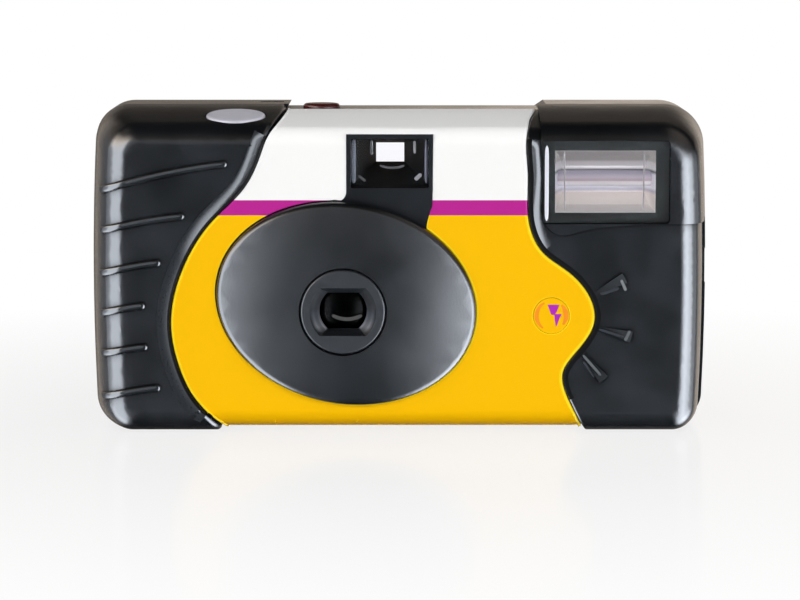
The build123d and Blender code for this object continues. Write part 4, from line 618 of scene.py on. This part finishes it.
def label_edges():
    """Rolled cut edge of the label, in a paler yellow that is a painted highlight, carried along every line of
    its border, and the grips' lips beside it.

    Point(border, w) = border point + reach * w beside the film + fall(w) behind its face, with w from 0 to 1.
    The reach is widest along the two S-shaped sides, and leaves the charging button its gap."""
    spots, aside, up, pairs = label_border()
    x, y, z = spots.T
    in_dome = np.hypot((x - DOME[0]) / 27.5, (z - DOME[1]) / 21.5) < 1
    in_neck = (np.abs(x - FINDER[0]) < 12) & (z > 36) & (z < 59)
    at_button = np.hypot(x - CHARGE[0], z - CHARGE[1]) < 5
    level = np.abs(aside[:, 0]) < 0.02
    side = np.where(x > 0, 0.6, 0.48)
    hole = 0.1 + 0.35 * np.clip((x + 36) / 52, 0, 1)
    reach = np.where(in_dome | in_neck, hole, side)
    reach = np.where(at_button, BUTTON_GAP - 0.06, reach)
    reach = np.where(level, np.minimum(reach, 0.1), reach)
    share = np.array([0.0, 0.3, 0.6, 0.85, 1.0, 1.0])
    fall = np.array([0.0, -0.02, 0.0, 0.06, 0.14, 0.24])
    points = spots[:, None, :] + aside[:, None, :] * (reach[:, None, None] * share[None, :, None])
    points = points - up[:, None, :] * fall[None, :, None]
    faces = band_faces(pairs, len(share))
    mesh_piece("label_cut_edge", points.reshape(-1, 3), faces, LABEL_EDGE_HIGHLIGHT, ROOT)
    # Each grip's lip: a dark sheet of painted shade over its inner bend and, where it stands high, the broad
    # round beyond it.
    front = (y < -14) & ~(at_button | in_dome | in_neck)
    left = front & (x < -20) & (z > 4)
    right = front & (x > 20) & (z > 5)
    for name, kept, start, end, mat, lean in (
        ("left_lip_bend", left, 0.62, 1.2, INNER, 0.0),
        ("left_lip_round", left, 1.2, 3.2, LIP, 1.25),
        ("right_lip_bend", right, 0.72, 1.7, INNER, 0.0),
        ("right_lip_round", right & (z > 34), 1.7, 3.3, POLISHED_LIP, 1.25),
    ):
        lip_skin(name, spots, aside, pairs, kept, np.linspace(start, end, 8), mat, lean)


def lip_skin(name, spots, aside, pairs, kept, lanes, mat, lean):
    """A skin laid over the front cover beside the label's border.

    Point(border, w) = border point + w * aside, with w in millimetres one of the lanes, brought forward to
    0.03 mm in front of the cover. Its shading normal leans lean * (1 - share of the span) towards the
    label, in radians, as on a round lip: fully above 52 mm, less below, and not at its upper end."""
    skin = spots[:, None, :] + aside[:, None, :] * lanes[None, :, None]
    skin[kept, :, 1] = cover_front(skin[kept, :, 0], skin[kept, :, 2]) - 0.03
    faces = band_faces(pairs[kept[pairs].all(axis=1)], len(lanes))
    numbers, places = np.unique(faces, return_inverse=True)
    points = skin.reshape(-1, 3)[numbers]
    piece = mesh_piece(name, points, places.reshape(-1, 4), mat, ROOT)
    if lean:
        share = np.tile(np.linspace(0, 1, len(lanes)), len(spots))[numbers]
        height = points[:, 2]
        tilt = lean * (1 - share) * np.clip((height - 30) / 22, 0.15, 1)
        tilt = tilt * np.clip((height.max() - height) / 1.8, 0.1, 1)
        inward = -np.repeat(aside, len(lanes), axis=0)[numbers]
        normals = inward * np.sin(tilt)[:, None] + np.array([0.0, -1.0, 0.0]) * np.cos(tilt)[:, None]
        piece.data.normals_split_custom_set_from_vertices(normals.tolist())


def lens_details():
    """Painted glare line low in the taking lens, and painted sheen on the two side walls of the cone.

    A wall's point is centre + r(s) * (cos a, sin a) at depth front + s * cone depth, with the radius r(s)
    from the mouth to the throat."""
    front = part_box("taking_lens")[0][1] / MM
    angle = np.radians(np.linspace(239, 301, 25))
    line = np.stack([LENS[0] + 0.75 + 5.6 * np.cos(angle), LENS[1] + 3.85 + 5.6 * np.sin(angle)], -1)
    glare = plain_plastic("lens_lower_edge", "#464646", "#505050", 0.3, 0.6, Specular_IOR_Level=0.1)
    ribbon("lens_lower_edge", line, 0.7, front - 0.05, glare)
    # Sheets of painted sheen on the cone's two side walls.
    wall = cone_wall()
    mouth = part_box("lens_ring")[0][1] / MM
    mouth_radius, throat_radius, cone_depth, gap = 6.4, 4.55, 2.3, 0.04
    for name, start, end in (("cone_wall_right", -46, 40), ("cone_wall_left", 140, 228)):
        around = np.radians(np.linspace(start, end, 25))[:, None]
        share = np.linspace(0.08, 0.98, 12)[None, :]
        radius = mouth_radius + (throat_radius - mouth_radius) * share - gap
        x = LENS[0] + radius * np.cos(around)
        z = LENS[1] + radius * np.sin(around)
        y = mouth + cone_depth * share + np.zeros_like(x) - gap
        points = np.stack([x, y, z], -1).reshape(-1, 3)
        mesh_piece(name, points, grid_faces(25, 12), wall, ROOT)


def finder_details():
    """Painted glints for the moulded edges of the finder's front lens that catch the light: two sides, two
    streaks, two corners and the lower rim of its dish."""
    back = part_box("viewfinder_front_lens")[1][1] / MM + 0.08
    bluish = plain_plastic("frosted_left_edge", "#666b76", "#707580", 0.4, 0.6)
    violet = plain_plastic("frosted_right_edge", "#5a5a6a", "#646474", 0.4, 0.6)
    pale = plain_plastic("frosted_corner", "#9c9ca0", "#a8a8ac", 0.4, 0.6)
    dim = plain_plastic("frosted_dish", "#3f3f41", "#48484a", 0.4, 0.6)
    for name, line, width, mat in (
        ("finder_left_edge", [(-8.93, 56.0), (-8.93, 47.5)], 0.85, bluish),
        ("finder_right_edge", [(5.03, 56.0), (5.03, 47.5)], 0.5, violet),
        ("finder_left_streak", [(-5.5, 55.9), (-5.45, 53.0)], 0.55, dim),
        ("finder_right_streak", [(2.8, 55.7), (2.85, 53.3)], 0.5, pale),
        ("finder_left_corner", [(-8.0, 49.0), (-6.7, 47.95)], 0.5, dim),
        ("finder_right_corner", [(2.9, 48.2), (4.1, 49.3)], 0.75, pale),
        ("finder_dish", [(-3.9, 50.95), (-2.6, 50.55), (-1.4, 50.48), (-0.2, 50.6), (0.9, 51.0)], 0.45, dim),
    ):
        ribbon(name, line, width, back, mat)


def finder_floor():
    """Dull floor of the finder's sleeve: a flat grid of width by depth just above the moulding."""
    # The sleeve is 9.4 mm high and 14.8 mm wide inside, from 14.5 to 8 mm in front of the middle plane.
    low = FINDER[1] - 4.7 + 0.022
    x = np.linspace(FINDER[0] - 7.4, FINDER[0] + 7.4, 4)
    y = np.linspace(-14.5, -8.0, 4)
    xx, yy = np.meshgrid(x, y, indexing="ij")
    points = np.stack([xx, yy, np.full_like(xx, low)], -1).reshape(-1, 3)
    mesh_piece("finder_floor", points, grid_faces(4, 4)[:, ::-1], INNER, ROOT)


def flash_details():
    """Painted highlight on the left edge of the flash window, and painted shade along the two upright folds of
    the bowl.
    """
    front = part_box("flash_lens")[0][1] / MM - 0.02
    edge = plain_plastic("window_moulded_edge", "#d6d7e2", "#e2e3ec", 0.25, 0.8)
    ribbon("flash_window_edge", [(28.0, 55.3), (28.0, 40.9)], 0.75, front, edge)
    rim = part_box("flash_reflector")[0][1] / MM - 0.02
    fold = plain_plastic("bowl_fold", "#7c7876", "#8a8684", 0.35, 0.6)
    for name, line in (
        ("bowl_left_fold", [(31.4, 54.0), (31.55, 42.6)]),
        ("bowl_right_fold", [(46.7, 54.0), (46.55, 42.6)]),
    ):
        ribbon(name, line, 0.28, rim, fold, 0.02)


def ray_details():
    """Painted highlights on the rounded edges and ends of the three rays beside the charging button.

    Each is a ribbon just in front of the cover's foremost point along its line."""
    bright = plain_plastic("polished_ray_end", "#7c8083", "#8a8e91", 0.4, 0.5, Specular_IOR_Level=0.1)
    soft = plain_plastic("polished_ray_edge", "#54585c", "#606468", 0.4, 0.5, Specular_IOR_Level=0.1)
    faint = plain_plastic("polished_ray_side", "#2a2d31", "#323539", 0.4, 0.5, Specular_IOR_Level=0.1)
    for name, line, width, mat in (
        ("ray_top_end", [(42.3, 29.7), (43.2, 27.6)], 0.55, bright),
        ("ray_top_side", [(38.4, 26.9), (41.9, 28.1)], 0.8, faint),
        ("ray_middle_end", [(44.05, 19.85), (43.1, 17.95)], 0.6, soft),
        ("ray_middle_side", [(38.1, 20.15), (43.0, 18.6)], 0.5, faint),
        ("ray_low_edge", [(35.05, 15.2), (38.55, 11.2)], 0.5, soft),
        ("ray_low_side", [(35.2, 13.85), (37.35, 10.8)], 0.4, faint),
    ):
        share = np.linspace(-0.05, 1.05, 9)
        (start_x, start_z), (end_x, end_z) = line
        front = cover_front(start_x + (end_x - start_x) * share, start_z + (end_z - start_z) * share).min()
        ribbon(name, line, width, front - 0.02, mat)


def rib_details():
    """Soft painted highlight along the crest of each of the six ribs: a parabola from the grip's side to the
    rib's round end, height(s) = (1 - s) * start + s * end + 4 * s * (1 - s) * sag, kept where the rib stands
    full."""
    crest = plain_plastic("rubbed_rib_crest", "#26292c", "#303336", 0.35, 0.5, Specular_IOR_Level=0.25)
    side_x = -57.5
    for number, (start, end_x, end) in enumerate(RIBS):
        share = np.linspace(0.2, 1.0, 17)
        x = side_x + (end_x - side_x) * share
        sag = (end - start) * 0.12
        z = (1 - share) * start + share * end + 4 * share * (1 - share) * sag + 0.12
        front = cover_front(x, z)
        full = np.abs(front - front.min()) < 0.12
        line = np.stack([x[full], z[full]], -1)
        ribbon(f"rib_crest_{number + 1}", line, 0.45, front.min() - 0.02, crest, 0.08)


print_button()
flash_mask()
label_edges()
lens_details()
finder_details()
finder_floor()
flash_details()
ray_details()
rib_details()


# Studio
# Brightness of the room for gloss, by direction: from left (-1) to right (1), and from below to above.
GLOSS_ACROSS = [
    (-1.0, 4.0),
    (-0.93, 13.0),
    (-0.6, 14.0),
    (-0.45, 13.0),
    (-0.37, 6.0),
    (-0.3, 1.2),
    (-0.2, 0.9),
    (-0.1, 0.02),
    (0.1, 0.02),
    (0.18, 0.3),
    (0.25, 1.6),
    (0.34, 6.5),
    (0.42, 16.0),
    (0.7, 22.0),
    (0.93, 15.0),
    (1.0, 3.0),
]
GLOSS_LOW = [
    (-1.0, 0.2),
    (-0.42, 0.25),
    (-0.3, 0.45),
    (-0.24, 0.8),
    (-0.18, 0.45),
    (-0.1, 0.06),
    (0.02, 0.06),
    (0.12, 0.7),
    (0.3, 0.9),
    (0.5, 0.2),
    (1.0, 0.1),
]
# The brightest that those two lists may hold, the wall behind, and what matt surfaces get.
GLOSS_MOST = 24.0
GLOSS_BACK = 0.75
MATT_FRONT = 0.5
MATT_BACK = 0.25
# The camera: 7 degrees above the horizon, metres away, the height it looks at, its focal length in pixels.
TILT = math.radians(7)
DISTANCE = 0.615
AIM = Vector((0, 0, 0.0239))
FOCAL_PIXELS = 3133


def soft_box(name, place, size, energy):
    """One soft box that faces the object and shows in no reflection."""
    data = bpy.data.lights.new(name, "AREA")
    data.shape = "RECTANGLE"
    data.size, data.size_y = size
    data.energy = energy
    obj = bpy.data.objects.new(name, data)
    bpy.context.scene.collection.objects.link(obj)
    obj.location = place
    obj.rotation_euler = (Vector((0, 0, 0.03)) - obj.location).to_track_quat("-Z", "Y").to_euler()
    obj.visible_glossy = False


def floor():
    """Pale polished sweep: white to the camera, with the object's soft shadow and a faint mirror image."""
    mesh = bpy.data.meshes.new("floor")
    corners = [(-6, -6, 0), (6, -6, 0), (6, 6, 0), (-6, 6, 0)]
    mesh.from_pydata(corners, [], [(0, 1, 2, 3)])
    obj = bpy.data.objects.new("floor", mesh)
    bpy.context.scene.collection.objects.link(obj)
    # A fifth of a millimetre under the object's feet.
    obj.location.z = -0.0002
    mat, tree, shader, here = material("pale_floor", Roughness=0.14, IOR=1.45)
    path = add(tree, "ShaderNodeLightPath")
    # Darker where its own light would bounce up on the object.
    tones = {"data_type": "RGBA", 6: linear("#fafafa"), 7: linear("#565656")}
    tone = add(tree, "ShaderNodeMix", tones, Factor=path.outputs["Is Diffuse Ray"])
    join(tree, shader, Base_Color=tone.outputs[2])
    # Its own white takes over away from the object, so that the sweep has no horizon.
    far = add(tree, "ShaderNodeVectorMath", {"operation": "LENGTH"}, i0=here).outputs["Value"]
    fade = add(tree, "ShaderNodeMapRange", span(0.065, 0.2, 0.8, 1.0), Value=far)
    share = add(tree, "ShaderNodeMath", TIMES, i0=path.outputs["Is Camera Ray"], i1=fade)
    glow = add(tree, "ShaderNodeEmission", {"Strength": 1.0})
    both = add(tree, "ShaderNodeMixShader", None, i0=share, i1=shader, i2=glow)
    # Reflections look through the sweep into the room, whose lower half stands for the white table.
    clear = add(tree, "ShaderNodeBsdfTransparent")
    last = add(tree, "ShaderNodeMixShader", None, i0=path.outputs["Is Glossy Ray"], i1=both, i2=clear)
    join(tree, tree.nodes["Material Output"], Surface=last)
    mesh.materials.append(mat)


def world():
    """White to the camera and through clear parts; light from the front for matt surfaces; for gloss a
    dark front with a soft box at either side, a pale band low in front and a pale wall behind."""
    sky = bpy.data.worlds.new("studio")
    bpy.context.scene.world = sky
    sky.use_nodes = True
    sky.cycles.sampling_method = "NONE"
    tree = sky.node_tree
    path = add(tree, "ShaderNodeLightPath")
    direction = add(tree, "ShaderNodeTexCoord").outputs["Generated"]
    parts = add(tree, "ShaderNodeSeparateXYZ", None, Vector=direction)
    x, y, z = (parts.outputs[name] for name in "XYZ")

    def brightness(source, levels):
        """The room's brightness along one direction, from its list of (direction, level)."""
        share = add(tree, "ShaderNodeMapRange", span(-1.0, 1.0), Value=source)
        stops = [((place + 1) / 2, level / GLOSS_MOST) for place, level in levels]
        band = add(tree, "ShaderNodeValToRGB", {"stops": stops}, Fac=share)
        band.color_ramp.interpolation = "EASE"
        return add(tree, "ShaderNodeMath", {"operation": "MULTIPLY", 1: GLOSS_MOST}, i0=band)

    def faded(light, *fades):
        """A light that fades over directions: each fade is one direction, its span and its two shares."""
        for source, *ends in fades:
            share = add(tree, "ShaderNodeMapRange", span(*ends), Value=source)
            light = add(tree, "ShaderNodeMath", TIMES, i0=light, i1=share)
        return light

    # The soft boxes at the sides. The left one reaches higher than the right one.
    right = add(tree, "ShaderNodeMapRange", span(-0.02, 0.02), Value=x)
    lifted = add(tree, "ShaderNodeMath", {"operation": "MULTIPLY_ADD", 1: 0.42}, i0=right, i2=z)
    boxes = faded(brightness(x, GLOSS_ACROSS), (y, -0.05, 0.35, 1.0, 0.05), (lifted, 0.4, 0.7, 1.0, 0.04))
    # The wall behind, dimmer at its ends, above and on the left.
    outward = add(tree, "ShaderNodeMath", SIZE, i0=x)
    wall = add(tree, "ShaderNodeMapRange", span(0.2, 0.6, 0.0, GLOSS_BACK), Value=y)
    wall = faded(wall, (outward, 0.3, 0.6, 1.0, 0.3), (z, 0.15, 0.4, 1.0, 0.12), (x, -0.04, 0.05, 0.3, 1.0))
    # The table in front, below the camera, and the ceiling's edge above it.
    table = faded(brightness(z, GLOSS_LOW), (outward, 0.35, 0.6, 1.0, 0.0), (y, -0.75, -0.4, 1.0, 0.15))
    room = add(tree, "ShaderNodeMath", {"operation": "MAXIMUM"}, i0=boxes, i1=wall)
    gloss = add(tree, "ShaderNodeMath", {"operation": "ADD"}, i0=room, i1=table)
    # The soft boxes are daylight, the ceiling is a little warm.
    above = add(tree, "ShaderNodeMapRange", span(0.15, 0.5), Value=z)
    rear = add(tree, "ShaderNodeMapRange", span(0.4, 0.8), Value=y)
    warmth = add(tree, "ShaderNodeMath", {"operation": "MAXIMUM"}, i0=above, i1=rear)
    tints = {"data_type": "RGBA", 6: linear("#eaf1fb"), 7: linear("#fff0e0")}
    tint = add(tree, "ShaderNodeMix", tints, Factor=warmth).outputs[2]
    plain = {"data_type": "RGBA", 6: linear("#ffffff")}
    hue = add(tree, "ShaderNodeMix", plain, Factor=path.outputs["Is Glossy Ray"], i7=tint).outputs[2]
    matt = add(tree, "ShaderNodeMapRange", span(-1.0, 0.6, MATT_FRONT, MATT_BACK), Value=y)
    number = {"data_type": "FLOAT"}
    kind = add(tree, "ShaderNodeMix", number, Factor=path.outputs["Is Glossy Ray"], i2=matt, i3=gloss)
    # Through clear parts the room is white beyond the object and dark on the camera's side.
    beyond = add(tree, "ShaderNodeMapRange", span(0.2, 0.3, 0.06, 1.0), Value=y)
    clear = add(tree, "ShaderNodeMix", number, Factor=path.outputs["Is Transmission Ray"], i2=kind, i3=beyond)
    white = {"data_type": "FLOAT", 3: 1.0}
    level = add(tree, "ShaderNodeMix", white, Factor=path.outputs["Is Camera Ray"], i2=clear)
    join(tree, tree.nodes["Background"], Color=hue, Strength=level)


def camera():
    """Long lens, a little above the horizon, straight at the front."""
    data = bpy.data.cameras.new("camera")
    data.sensor_width = 36.0
    data.lens = FOCAL_PIXELS / 800 * data.sensor_width
    data.clip_start = 0.01
    obj = bpy.data.objects.new("camera", data)
    bpy.context.scene.collection.objects.link(obj)
    obj.location = AIM + Vector((0, -math.cos(TILT), math.sin(TILT))) * DISTANCE
    obj.rotation_euler = (AIM - obj.location).to_track_quat("-Z", "Y").to_euler()
    bpy.context.scene.camera = obj


floor()
world()
camera()
soft_box("front_softbox", (0, -1.1, 0.28), (1.2, 0.6), 10.05)
soft_box("top_softbox", (0, 0.1, 0.9), (0.6, 0.4), 0.4)

bpy.context.scene.view_settings.view_transform = "Standard"
